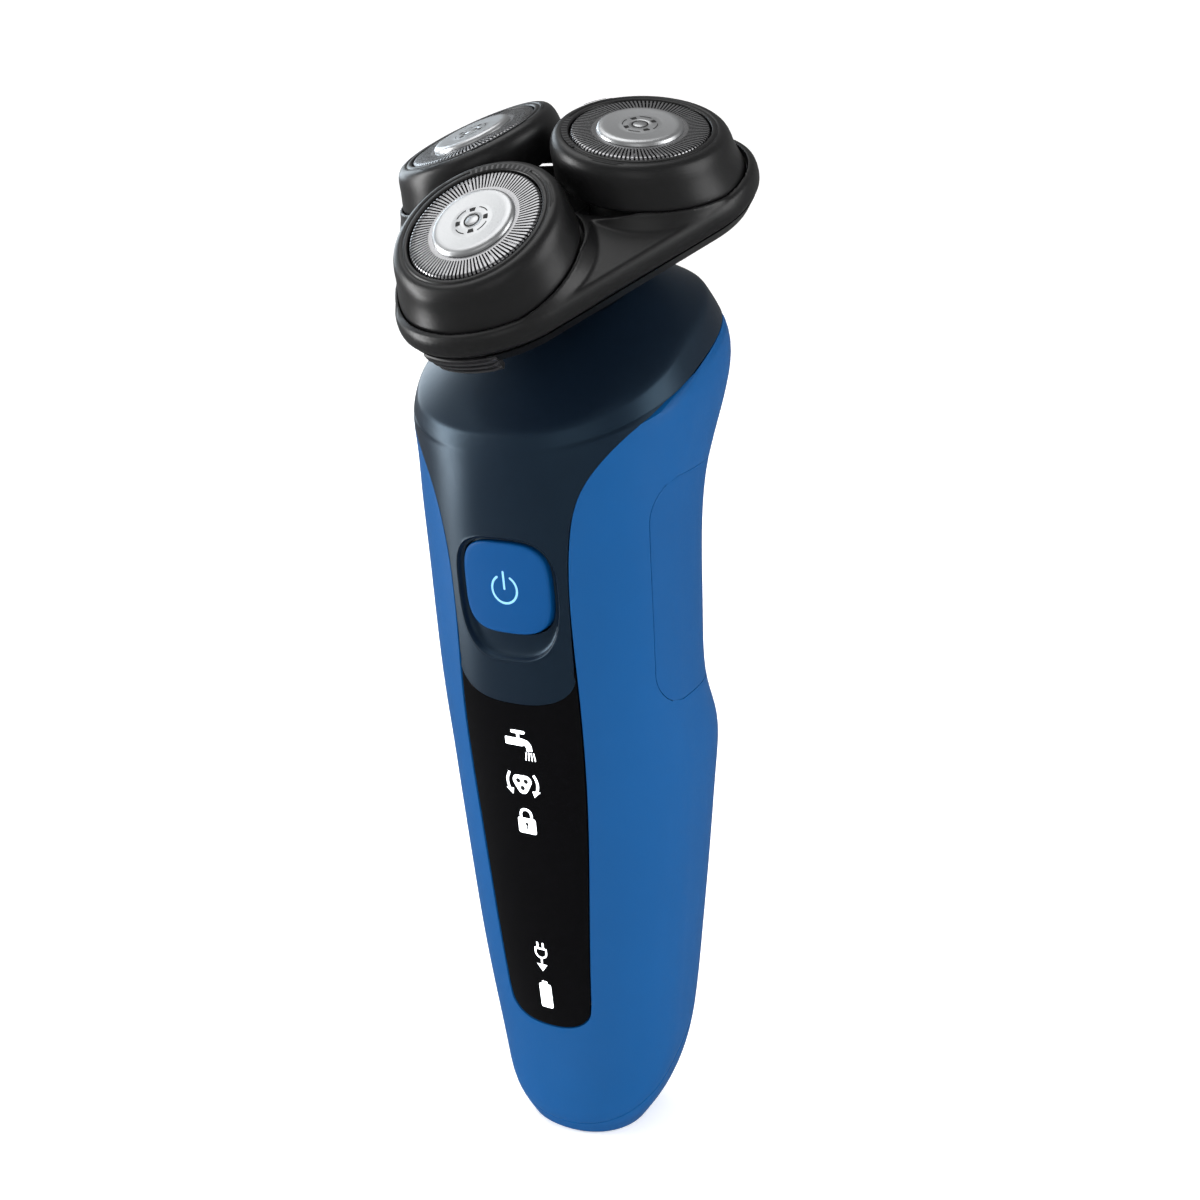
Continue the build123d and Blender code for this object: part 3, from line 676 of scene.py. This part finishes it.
def cover_front():
    """Grid over the cover's straight part, with grid lines bent round the key recess."""
    inner, outer = RECESS_GRID[0], 14
    half = RECESS_GRID[1] // 2
    foot_rows, top_rows = 26, 12
    spread = 0.7  # share of the columns' span over the recess
    u = np.concatenate([
        np.linspace(-1, -spread, outer, endpoint=False),
        np.linspace(-spread, spread, inner, endpoint=False),
        np.linspace(spread, 1, outer + 1),
    ])
    beyond = np.maximum(0, (np.abs(u) - spread) / 0.3)

    def across(z):
        outside = RECESS[0] + beyond * (strip_width(z) - COVER_TRIM - RECESS[0])
        return np.sign(u) * np.where(beyond > 0, outside, np.abs(u) / spread * RECESS[0])

    share = across(np.full(len(u), 82.0)) / (strip_width(82.0) - COVER_TRIM)
    low = arch(share, *LENS_TOP) + SEAM
    start = KEY_Z - RECESS[2] + 2.2 * beyond ** 2
    middle, top, join = (height + 0 * u for height in (KEY_Z, KEY_Z + RECESS[1], COVER_JOIN))
    z = np.concatenate([
        np.linspace(low, start, foot_rows, endpoint=False),
        np.linspace(start, middle, half, endpoint=False),
        np.linspace(middle, top, half, endpoint=False),
        np.linspace(top, join, top_rows),
    ])
    x = np.array([across(row) for row in z])
    tall = np.where(z > KEY_Z, RECESS[1], RECESS[2])
    spot = np.stack([x / RECESS[0], (z - KEY_Z) / tall], -1)
    reach = np.maximum(np.abs(spot).max(-1), 1e-9)
    round_off = squircle(spot / reach[..., None], RECESS_POWER)
    blend = np.clip((1.2 - reach) / 0.2, 0, 1)
    blend = blend * blend * (3 - 2 * blend)
    spot *= (1 - blend * (1 - round_off))[..., None]
    x, z = spot[..., 0] * RECESS[0], KEY_Z + spot[..., 1] * tall
    patch = np.stack([x, surface_at(x, z), z], -1)
    return patch, range(foot_rows, foot_rows + 2 * half), range(outer, outer + inner)


def key_surround(patch, rows, columns):
    """Rings from the recess outline down to the key: soft lip, dished floor, short wall."""
    top, right = rows[-1] + 1, columns[-1] + 1
    loop = np.concatenate([
        patch[rows[0], columns[0]:right],
        patch[rows[0]:top, right],
        patch[top, columns[0] + 1:right + 1][::-1],
        patch[rows[0] + 1:top + 1, columns[0]][::-1],
    ])
    ox, oz = loop[:, 0], loop[:, 2]
    tall = np.where(oz > KEY_Z, RECESS[1], RECESS[2])
    spot = np.stack([ox / RECESS[0], (oz - KEY_Z) / tall], -1)
    direction = spot / np.abs(spot).max(-1)[:, None]
    ix, iz = key_outline(direction, 0.3)
    gap = np.hypot(ix - ox, iz - oz)
    floor = np.interp(direction[:, 1], [-1, -0.5, 0.5, 1], [1.25, 1.05, 0.8, 0.55])
    rings = [loop]
    for inward, limit, share in LIP:
        t = np.minimum(inward / gap, limit)
        x, z = ox + t * (ix - ox), oz + t * (iz - oz)
        depth = np.where(share < 0, share, share * floor)
        rings.append(np.stack([x, surface_at(x, z) + depth, z], -1))
    last = rings[-1]
    rings += [last + (0, drop, 0) for drop in (0.2, 1.2, 2.4)]
    return np.array(rings)


def rows_above(low, high, rows, lean, trim=0.0):
    """Strip rows over one plane up to another; lean spreads the columns, from -1 to 1."""
    points = []
    for k in range(1, rows + 1):
        t = k / rows
        slope = (1 - t) * low[0] + t * high[0] + 0 * lean
        height = (1 - t) * low[1] + t * high[1] + 0 * lean
        reach = strip_reach(slope, height) - trim * (1 - t)
        points.append(on_plane(lean * reach - math.pi / 2, slope, height))
    return np.array(points)


def ease_crease(patch, row):
    """Rounds the crease at a row of a patch."""
    for _ in range(4):
        soft = patch.copy()
        for k in range(row - 3, row + 4):
            soft[k] = (patch[k - 1] + 2 * patch[k] + patch[k + 1]) / 4
        patch[:] = soft


def make_front_cover():
    front, rows, columns = cover_front()
    collar_rows, shoulder_rows = 12, 26
    edge = front[-1, :, 0]
    lean = phi_where(lambda p: p[..., 0] - edge, 0 * edge, COVER_JOIN + 0 * edge, -math.pi, 0)
    lean = lean + math.pi / 2
    lean = lean / lean[-1]
    upper = rows_above((0, COVER_JOIN), COLLAR_HIGH, 24, lean, trim=0.004)
    collar = rows_above(COLLAR_HIGH, CREASE, collar_rows, lean)
    ring = around_patch([COLLAR_HIGH, CREASE], (collar_rows,))
    ring = np.concatenate([ring, shoulder(ring[-1], shoulder_rows)])
    strip = np.concatenate([front, upper, collar, shoulder(collar[-1], shoulder_rows)])
    ease_crease(ring, collar_rows)
    ease_crease(strip, len(strip) - 1 - shoulder_rows)
    surround = key_surround(front, rows, columns)
    shape = merge([
        patch_shape(ring),
        patch_shape(strip, lambda i, j: not (i in rows and j in columns)),
        (surround.reshape(-1, 3), grid_faces(*surround.shape[:2], closed=True)),
    ])
    cover = new_mesh("front_cover_skin", shape, "handle", "navy_gloss", nodes=["front_cover"])
    weld(cover)
    thicken(cover, 1.2, 0.16)


def shoulder(crease, rows):
    """Straight-lined cone from the crease to the neck circle."""
    local = [HEAD.inverted() @ Vector(p) for p in crease]
    ends = [Vector(polar(NECK_R, math.atan2(p.y, p.x), NECK_TOP)) for p in local]
    return np.array([[tuple(HEAD @ p.lerp(end, k / rows)) for p, end in zip(local, ends)]
                     for k in range(1, rows + 1)])


def key_y(x, z):
    """Front face of the power key: follows the handle with a shallow dish."""
    reach = np.minimum(1, np.hypot(np.asarray(x) / KEY[0], (np.asarray(z) - KEY_Z) / KEY[1]))
    return front_y(x, z) + 0.12 + 0.22 * (1 - reach ** 2)


def make_power_key():
    direction = border(36)
    rows = []
    x0, z0 = key_outline(direction)
    for share in (0.02, 0.15, 0.3, 0.45, 0.6, 0.75, 0.88, 0.94):
        x, z = x0 * share, KEY_Z + (z0 - KEY_Z) * share
        rows.append(np.stack([x, key_y(x, z), z], -1))
    for grow, drop in ((-0.3, 0.02), (-0.14, 0.10), (-0.04, 0.26), (0.0, 0.5), (0.0, 3.2)):
        x, z = key_outline(direction, grow)
        rows.append(np.stack([x, key_y(x, z) + drop, z], -1))
    faces = grid_faces(len(rows), len(direction), closed=True)
    faces.append(tuple(range(len(direction)))[::-1])
    key = new_mesh("power_key_cap", (np.concatenate(rows), faces), "power_key", "button_blue",
                   nodes=["power_button"])
    weld(key)
    crisp(key, 50)


def make_bottom_cap():
    """Foot cap: socket hole, flat floor, rounded edge, wall up to the slanting seam."""
    count = 180
    phi = np.linspace(0, 2 * math.pi, count, endpoint=False)
    (x0, y0, _), (x1, y1, _) = [[c / MM for c in corner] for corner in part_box("charging_socket")]
    foot = body_point(phi, 0 * phi)
    middle = np.array([(x0 + x1) / 2, (y0 + y1) / 2, 0.0])
    direction = foot - middle
    half = np.array([x1 - x0 + 0.1, y1 - y0 + 0.1]) / 2
    reach = (half / np.maximum(1e-6, np.abs(direction[:, :2]))).min(1)
    hole = middle + direction * reach[:, None]
    rows = [hole + (0, 0, 3.0), hole + (0, 0, 0.3), hole + (foot - hole) * 0.02 + (0, 0, 0.08)]
    rows += [hole + (foot - hole) * t for t in (0.06, 0.3, 0.6, 0.85)]
    for inset, height in ((0.55, 0.0), (0.28, 0.05), (0.10, 0.18)):
        rows.append(on_plane(phi, 0, height + 1e-4, inset))
    slope, top = CAP_SEAM[0], CAP_SEAM[1] - SEAM
    for k in range(25):
        t = k / 24
        rows.append(on_plane(phi, slope * t, 0.4 * (1 - t) + (top - 0.12) * t))
    for inset, drop in ((0.04, 0.04), (0.14, 0.0), (1.4, 0.0), (1.5, 1.2)):
        rows.append(on_plane(phi, slope, top - drop, inset))
    shape = np.concatenate(rows), grid_faces(len(rows), count, closed=True)
    cap = new_mesh("bottom_cap_skin", shape, "handle", "blue_satin", nodes=["bottom_cap"])
    weld(cap, 1e-6)
    crisp(cap, 50)


# ---- lit pictograms ----
def divide(path):
    """Points every 0.3 mm or closer along the path, without its last one."""
    fine = []
    for a, b in zip(path, path[1:]):
        count = max(1, int(np.linalg.norm(b - a) / 0.3))
        fine += [a + (b - a) * k / count for k in range(count)]
    return fine


def ribbon(path, width, surface, lift=0.03, ends=True):
    """Flat stroke of constant width along (x, z) points, laid on a surface."""
    def laid(q):
        return q[0], float(surface(q[0], q[1])) - lift, q[1]

    path = [np.array(p, float) for p in path]
    fine = divide(path) + [path[-1]]
    points, faces = [], []
    n = len(fine)
    for k, p in enumerate(fine):
        along = fine[min(n - 1, k + 1)] - fine[max(0, k - 1)]
        along = along / max(1e-9, np.linalg.norm(along))
        side = np.array([-along[1], along[0]]) * width / 2
        points += [laid(q) for q in (p - side, p, p + side)]
    for a in range(0, 3 * n - 3, 3):
        faces += [(a, a + 1, a + 4, a + 3), (a + 1, a + 2, a + 5, a + 4)]
    if ends:
        for p, step, quarter in ((fine[0], fine[1] - fine[0], math.pi / 2),
                                 (fine[-1], fine[-1] - fine[-2], -math.pi / 2)):
            turn = math.atan2(step[1], step[0]) + quarter
            base = len(points)
            points.append(laid(p))
            for m in range(7):
                a = turn + math.pi * m / 6
                points.append(laid(p + np.array([math.cos(a), math.sin(a)]) * width / 2))
            faces += [(base, base + m, base + m + 1) for m in range(1, 7)]
    return points, faces


def blob(outline, surface, lift=0.03):
    """Filled convex shape laid on a surface, as rings shrinking to its middle."""
    outline = np.array(outline, float)
    fine = np.array(divide(list(outline) + [outline[0]]))
    middle = fine.mean(0)
    points = []
    shares = (1.0, 0.66, 0.33, 0.02)
    for share in shares:
        for p in middle + (fine - middle) * share:
            points.append((p[0], float(surface(p[0], p[1])) - lift, p[1]))
    faces = grid_faces(len(shares), len(fine), closed=True)
    faces.append(tuple(range(len(points) - len(fine), len(points))))
    return points, faces


def arc(x, z, radius, start, end, count=20):
    turns = [math.radians(start + (end - start) * k / count) for k in range(count + 1)]
    return [(x + radius * math.cos(t), z + radius * math.sin(t)) for t in turns]


def rounded_box(x, z, width, height, radius):
    points = []
    for cx, cz, start in ((1, 1, 0), (-1, 1, 90), (-1, -1, 180), (1, -1, 270)):
        corner = x + cx * (width / 2 - radius), z + cz * (height / 2 - radius)
        points += arc(*corner, radius, start, start + 90, 5)
    return points


def on_lens(x, z):
    return front_y(x, z, LENS_INSET)


def lens_mark(name, marks):
    new_mesh(name, merge(marks), "handle", "led_white", "icon_white")


def lens_gap(name, marks):
    """Dark detail on a lit pictogram."""
    new_mesh(name, merge(marks), "handle", "lens_black", "icon_dark_and_painted_gap_shade")


def make_tap():
    tap = [
        ribbon([(-0.9, 74.4), (1.1, 74.4)], 0.55, on_lens),
        ribbon([(0.1, 74.4), (0.1, 73.2)], 0.5, on_lens),
        blob(rounded_box(-0.7, 72.75, 3.2, 1.25, 0.2), on_lens),
        ribbon([(0.6, 72.9), (1.5, 72.7), (1.9, 72.1), (1.95, 71.4)], 1.0, on_lens, ends=False),
    ]
    for k in range(4):
        x = 1.35 + 0.42 * k
        tap.append(ribbon([(x, 71.1), (x + 0.12 * (k - 1.5), 69.9)], 0.2, on_lens))
    lens_mark("icon_rinse", tap)


def make_head_sign():
    """Head seen from the front, between two arrows that turn round it."""
    z0 = 65.7
    outline, dots = [], []
    for degrees in (-90, 30, 150):
        x, z = arc(0, z0, 0.85, degrees, degrees, 1)[0]
        outline += arc(x, z, 0.95, degrees - 60, degrees + 60, 8)
        x, z = arc(0, z0, 0.8, degrees, degrees, 1)[0]
        dots.append(blob(arc(x, z, 0.42, 0, 330, 11), on_lens, 0.05))
    head = [blob(outline, on_lens)]
    for side in (-1, 1):
        sweep = arc(0, z0, 2.7, 90 - side * 52, 90 - side * 118)
        x, z = sweep[-1]
        tip = [(x + 0.7, z + 0.15), (x - 0.7, z + 0.15), (x - side * 0.45, z - 0.9)]
        head += [ribbon(sweep, 0.42, on_lens, ends=False), blob(tip, on_lens)]
    lens_mark("icon_head", head)
    lens_gap("icon_head_dots", dots)


def make_pictograms():
    make_tap()
    make_head_sign()
    bow = [(-0.95, 59.4)] + arc(0, 60.2, 0.95, 180, 0) + [(0.95, 59.4)]
    lens_mark("icon_lock", [
        blob(rounded_box(0, 58.3, 3.2, 2.7, 0.35), on_lens),
        ribbon(bow, 0.42, on_lens, ends=False),
    ])
    lens_gap("icon_lock_keyhole", [
        blob(arc(0, 58.6, 0.3, 0, 330, 11), on_lens, 0.05),
        ribbon([(0, 58.5), (0, 57.8)], 0.26, on_lens, 0.05),
    ])
    plug = [(-1.0, 36.2), (1.0, 36.2), (1.0, 35.5)] + arc(0, 35.5, 1.0, 0, -180)[1:] + [(-1.0, 36.2)]
    lens_mark("icon_charge", [
        ribbon([(-0.5, 37.2), (-0.5, 36.4)], 0.34, on_lens),
        ribbon([(0.5, 37.2), (0.5, 36.4)], 0.34, on_lens),
        ribbon(plug, 0.3, on_lens),
        ribbon([(0, 34.5), (0, 33.4)], 0.3, on_lens),
        blob([(-0.95, 33.3), (0, 32.0), (0.95, 33.3)], on_lens),
    ])
    lens_mark("icon_battery", [
        blob(rounded_box(0.05, 27.3, 2.2, 4.6, 0.4), on_lens),
        blob(rounded_box(0.05, 29.9, 1.0, 0.4, 0.1), on_lens),
    ])
    power = merge([
        ribbon(arc(0, KEY_Z - 0.2, 2.15, 122, 418, 48), 0.36, key_y),
        ribbon([(0, KEY_Z + 2.5), (0, KEY_Z - 0.1)], 0.36, key_y),
    ])
    new_mesh("icon_power", power, "power_key", "button_blue", "icon_blue")


# ---- shaving head ----
RING_PROFILE = [  # radius, outward shift and height in the unit's own frame
    (10.12, 0, -1.6), (10.12, 0, -0.30), (10.17, 0, -0.10), (10.30, 0, -0.03), (10.72, 0, -0.03),
    (10.80, 0, -0.10), (10.86, 0, -0.20), (11.02, 0, -0.20), (11.08, 0, -0.12), (11.20, 0, -0.08),
    (11.70, 0.01, -0.17), (12.10, 0.04, -0.36), (12.42, 0.07, -0.66), (12.70, 0.10, -1.10),
    (12.93, 0.16, -1.70), (13.10, 0.28, -2.45), (13.24, 0.50, -3.25), (13.44, 0.86, -4.25),
    (13.62, 1.20, -5.15), (13.72, 1.38, -5.65), (13.74, 1.45, -5.98), (13.68, 1.48, -6.26),
    (13.50, 1.48, -6.42), (13.00, 1.48, -6.48), (12.00, 1.30, -6.40), (11.50, 0.80, -4.50),
]
LOBE_PROFILE = [  # the same for the frame's lobe under a ring
    (16.9, 1.40, -14.0), (16.6, 1.40, -11.0), (15.8, 1.40, -9.2), (15.1, 1.42, -7.7), (14.62, 1.44, -6.7),
    (14.46, 1.45, -6.25), (14.40, 1.45, -6.0), (14.2, 1.45, -5.95),
]
FRAME_FLOOR = -12.3
FLANK = [  # radius round the unit centres and height of the frame's side
    (13.7, FRAME_FLOOR), (14.25, -12.15), (14.75, -11.6), (14.88, -10.9), (14.84, -10.0), (14.7, -9.3),
    (14.4, -8.85),
]
PLATEAU = (6.2, -5.7)  # the same for the flat top between the units
FRAME_VOXEL = 0.20  # rounds the frame's edges by about this much


def make_skin_ring(number, matrix):
    """Black ring round the guard, with a fine groove and a foot that leans outward."""
    body, back = f"unit_{number}", math.pi / 2
    ring = new_mesh(f"skin_ring_{number}_shape", place(lathe(RING_PROFILE, 160), matrix), body,
                    "head_black", nodes=[f"skin_ring_{number}"])
    weld(ring)
    crisp(ring, 62)
    # The comb strip is the same black plastic drawn lighter: painted highlight of the light its ribs
    # catch.
    comb = ring_mark(10.75, 0.80, back + 0.47, back - 0.47)
    new_mesh(f"skin_ring_{number}_comb", place(comb, matrix), body, "head_black", "comb_painted_highlight")
    # Dark strips over the comb's slots and the short grooves: painted shade.
    marks = []
    for k in range(12):
        middle = back + 0.078 * (k - 5.5)
        corners = [polar(r, middle + side * 0.022 * 11 / r, 0.02)
                   for r in (10.36, 11.14) for side in (-1, 1)]
        marks.append((corners, [(0, 1, 3, 2)]))
    for side in (-1, 1):
        for radius, reach in ((11.36, 0.24), (11.66, 0.17)):
            start, stop = back + side * (1.05 + reach), back + side * (1.05 - reach)
            marks.append(ring_mark(radius, 0.16, start, stop))
    new_mesh(f"skin_ring_{number}_slots", place(merge(marks), matrix), body, "head_black", "icon_dark_and_painted_gap_shade")


def arc_band(inner, outer, start, stop, height, steps):
    """Flat strip between two radii, at a height given over the radius."""
    points = []
    for k in range(steps + 1):
        a = start + (stop - start) * k / steps
        points += [polar(radius, a, height(radius)) for radius in (inner, outer)]
    return points, [(2 * k, 2 * k + 1, 2 * k + 3, 2 * k + 2) for k in range(steps)]


def ring_mark(radius, width, start, stop):
    """Strip laid along the ring's top face."""
    radii, _, heights = zip(*RING_PROFILE[3:16])

    def just_above(r):
        return max(-0.02, float(np.interp(r, radii, heights))) + 0.02

    return arc_band(radius - width / 2, radius + width / 2, start, stop, just_above, 10)


def make_guard(number, matrix):
    """Steel shaving track: radial slots cut through the crown and over its outer edge."""
    rings = (  # radius, height, lean of the slots
        (5.95, -0.05, 0.0), (6.45, 0.0, 0.0), (6.85, 0.0, 0.0), (7.6, 0.0, 0.012), (8.5, 0.0, 0.024),
        (9.35, 0.0, 0.036), (9.65, -0.06, 0.040), (9.84, -0.22, 0.042), (9.9, -0.5, 0.042),
        (9.9, -1.7, 0.042),
    )
    open_rings = range(2, 8)
    across = (0.0, 0.52, 1.0)  # bar, then slot, as shares of one pitch
    points, faces = [], []
    for k in range(SLOTS):
        for radius, height, lean in rings:
            points += [polar(radius, 2 * math.pi * (k + share) / SLOTS + lean, height) for share in across]
    wide, tall = len(across), len(rings)
    for k, i, j in product(range(SLOTS), range(tall - 1), range(wide - 1)):
        if j == 0 or i not in open_rings:
            a = (k * tall + i) * wide + j
            faces.append((a, a + wide, a + wide + 1, a + 1))
    guard = new_mesh(f"guard_{number}_track", place((points, faces), matrix), f"unit_{number}",
                     "guard_steel", nodes=[f"guard_{number}"])
    weld(guard, 1e-6)
    add_wall(guard, 0.18)
    apply_modifiers(guard)
    crisp(guard, 40)


def make_guard_cap(number, matrix):
    """Bright disc with a stepped middle; its pressed marks are dark bands laid on top, painted shade."""
    profile = [
        (0.02, 0.62), (0.95, 0.62), (1.02, 0.56), (1.14, 0.56), (1.2, 0.62), (1.7, 0.62), (2.6, 0.60),
        (3.0, 0.56), (3.2, 0.57), (4.2, 0.60), (4.9, 0.64), (5.3, 0.66), (5.65, 0.62), (5.95, 0.48),
        (6.12, 0.28), (6.2, 0.02), (6.05, -0.1),
    ]
    cap = new_mesh(f"guard_cap_{number}_disc", place(lathe(profile, 128), matrix), f"unit_{number}",
                   "cap_chrome", nodes=[f"guard_cap_{number}"])
    weld(cap)
    crisp(cap, 50)
    quarter = math.pi / 2
    marks = []
    for k in range(4):
        middle = quarter * k + 0.35
        for inner, outer, start, stop in ((1.75, 2.42, -0.2, 0.2), (2.42, 2.56, 0.42, quarter - 0.42),
                                          (0.98, 1.2, -0.1, quarter - 0.1)):
            marks.append(arc_band(inner, outer, middle + start, middle + stop, lambda r: 0.635, 8))
    new_mesh(f"guard_cap_{number}_marks", place(merge(marks), matrix), f"unit_{number}", "cap_chrome",
             "icon_dark_and_painted_gap_shade")


def make_units():
    for number, angle in enumerate(ANGLES, 1):
        matrix = unit_matrix(angle)
        make_skin_ring(number, matrix)
        make_guard(number, matrix)
        make_guard_cap(number, matrix)


def towards(angle):
    return np.array([math.cos(angle), math.sin(angle)])


def hull_outline(radius, arc_steps=26, side_steps=14):
    """Rounded triangle: arcs round the three unit centres, joined by straight flanks."""
    outline = []
    sixth = math.radians(60)
    for k, angle in enumerate(ANGLES):
        for m in range(arc_steps + 1):
            turn = angle + math.radians(120 * m / arc_steps - 60)
            outline.append(PITCH * towards(angle) + radius * towards(turn))
        following = ANGLES[(k + 1) % 3]
        target = PITCH * towards(following) + radius * towards(following - sixth)
        start = outline[-1]
        outline += [start + (target - start) * m / side_steps for m in range(1, side_steps)]
    return np.array(outline)


def stack(rows):
    """Closed solid through equal rings of points, flat at both ends."""
    rows = [np.asarray(row, float) for row in rows]
    count = len(rows[0])
    faces = grid_faces(len(rows), count, closed=True)
    faces.append(tuple(range(count))[::-1])
    faces.append(tuple((len(rows) - 1) * count + k for k in range(count)))
    return np.concatenate(rows), faces


def hull_solid(levels, *steps):
    """Solid through hull outlines, from (radius, height) levels."""
    return stack([np.c_[outline, np.full(len(outline), z)]
                  for outline, z in ((hull_outline(radius, *steps), z) for radius, z in levels)])


def round_solid(levels):
    """Levels are (radius, shift towards -y, height)."""
    a = np.linspace(0, 2 * math.pi, 120, endpoint=False)
    return stack([np.stack([r * np.cos(a), r * np.sin(a) - shift, 0 * a + h], -1)
                  for r, shift, h in levels])


def box_solid(x0, x1, y0, y1, z0, z1):
    ring = [(x0, y0), (x1, y0), (x1, y1), (x0, y1)]
    return stack([[(x, y, z) for x, y in ring] for z in (z0, z1)])


def cross_bar(radius, length, y, z, x=0.0):
    """Solid cylinder along x."""
    a = np.linspace(0, 2 * math.pi, 40, endpoint=False)
    return stack([np.stack([0 * a + x + e, y + radius * np.cos(a), z + radius * np.sin(a)], -1)
                  for e in (-length / 2, length / 2)])


def bare(shape, matrix):
    """Unlisted helper object for solid modelling, in metres."""
    points, faces = place(shape, matrix)
    mesh = bpy.data.meshes.new("tool")
    mesh.from_pydata([tuple(c * MM for c in p) for p in points], [], faces)
    with editing(mesh) as opened:
        bmesh.ops.recalc_face_normals(opened, faces=opened.faces)
    return add_object("tool", mesh)


def combine(piece, tool, how):
    joined = piece.modifiers.new("join", "BOOLEAN")
    joined.operation = how
    joined.solver = "EXACT"
    joined.object = tool
    apply_modifiers(piece)
    bpy.data.objects.remove(tool)


def absorb(piece, others):
    """Adds closed helper solids to a piece; the even mesh made afterwards merges them."""
    with editing(piece.data) as mesh:
        for other in others:
            mesh.from_mesh(other.data)
            bpy.data.objects.remove(other)


def soften(piece, voxel, passes=0):
    """Even closed mesh with every edge slightly rounded, as moulded plastic has."""
    even = piece.modifiers.new("even", "REMESH")
    even.mode = "VOXEL"
    even.voxel_size = voxel * MM
    if passes:
        smooth = piece.modifiers.new("smooth", "SMOOTH")
        smooth.factor = 0.5
        smooth.iterations = passes
    apply_modifiers(piece)
    for polygon in piece.data.polygons:
        polygon.use_smooth = True


def frame_lobes():
    """Lobes under the three rings, cut to the frame's outline."""
    band = hull_solid([(14.80, FRAME_FLOOR + 0.43), (14.83, -5.5)], 31, 17)
    lobes = [bare(round_solid(LOBE_PROFILE), unit_matrix(angle)) for angle in ANGLES]
    for lobe in lobes:
        combine(lobe, bare(band, HEAD), "INTERSECT")
    return lobes


def frame_hollow(y, z):
    """Everything cut out of the frame: its inside, the ring pockets, the hinge relief."""
    hollow = bare(hull_solid([(12.9, -14.0), (12.9, -10.2), (3.0, -6.6)]), HEAD)
    pocket = round_solid([(13.92, 1.45, -8.4), (13.92, 1.45, 6.0)])
    pockets = [bare(pocket, unit_matrix(angle)) for angle in ANGLES]
    absorb(hollow, pockets + [bare(cross_bar(1.93, 6.7, y, z), HEAD)])
    soften(hollow, FRAME_VOXEL)
    return hollow


def make_top_frame():
    """Frame between the rings: lobes, plateau and sloping facets in one soft-edged moulding."""
    y, z = HINGE
    body = bare(hull_solid(FLANK + [PLATEAU]), HEAD)
    absorb(body, frame_lobes())
    soften(body, FRAME_VOXEL)
    combine(body, frame_hollow(y, z), "DIFFERENCE")
    knuckles = []
    for x in (-5.5, 5.5):
        block = box_solid(x - 2, x + 2, y - 2.2, y + 0.6, z + 0.1, z + 2.6)
        knuckles += [bare(cross_bar(1.6, 4.0, y, z, x), HEAD), bare(block, HEAD)]
    absorb(body, knuckles)
    soften(body, FRAME_VOXEL, 1)
    body.name = "top_frame_moulding"
    body.data.materials.clear()
    body.data.materials.append(MATERIALS["head_black"])
    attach(body, "frame")
    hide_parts("top_frame")


def make_frame_seams():
    """Fine dark lines across the plateau between the units: painted shade of the seams there."""
    seams = []
    for degrees in (-30, 90, 210):
        out = towards(math.radians(degrees))
        along = np.array([-out[1], out[0]])
        ends = [out * 9.6 - along * 6.5, out * 9.6 + along * 6.5]
        points, faces = ribbon(ends, 0.22, lambda x, z: PLATEAU[1] + 0 * x, lift=-0.04)
        seams.append(([(x, y, z) for x, z, y in points], faces))
    new_mesh("top_frame_seams", place(merge(seams), HEAD), "frame", "head_black", "icon_dark_and_painted_gap_shade")


def make_release_tab():
    """Thumb tab under the front lobe: curved plate with three ribs across it."""
    profile = [(-1.6, -12.75), (-0.25, -12.75), (0.0, -12.9)]
    for rib in range(3):
        top = -13.0 - 1.05 * rib
        profile += [(0.02, top), (0.42, top - 0.12), (0.52, top - 0.3), (0.5, top - 0.5),
                    (0.36, top - 0.66), (0.0, top - 0.74)]
    profile += [(-0.1, -16.05), (-0.4, -16.15), (-1.6, -16.15)]
    reach, count, wide = 0.44, 40, len(profile)
    points = []
    for k in range(count + 1):
        a = -math.pi / 2 - reach + 2 * reach * k / count
        ends = min(1.0, 6.0 * min(k, count - k) / count + 0.25)
        for out, z in profile:
            radius = 14.3 + (z + 12.6) * 0.62 + (out * ends if out > 0 else out)
            x, y, _ = polar(radius, a, z)
            points.append((x, y - PITCH, z))
    faces = grid_faces(count + 1, wide, closed=True)
    faces += [tuple(range(wide)), tuple(count * wide + k for k in range(wide))[::-1]]
    # The tab is the head's black plastic drawn lighter all over: painted highlight of the light its ribs
    # catch.
    tab = new_mesh("release_tab_ribs", place((points, faces), HEAD), "release", "head_black", "tab_painted_highlight",
                   nodes=["release_tab"])
    weld(tab)
    crisp(tab, 40)


make_camera()
make_stage()
paint_cad()
make_rear_shell()
make_grip_panel()
make_lens()
make_front_cover()
make_power_key()
make_bottom_cap()
make_pictograms()
make_units()
make_top_frame()
make_frame_seams()
make_release_tab()
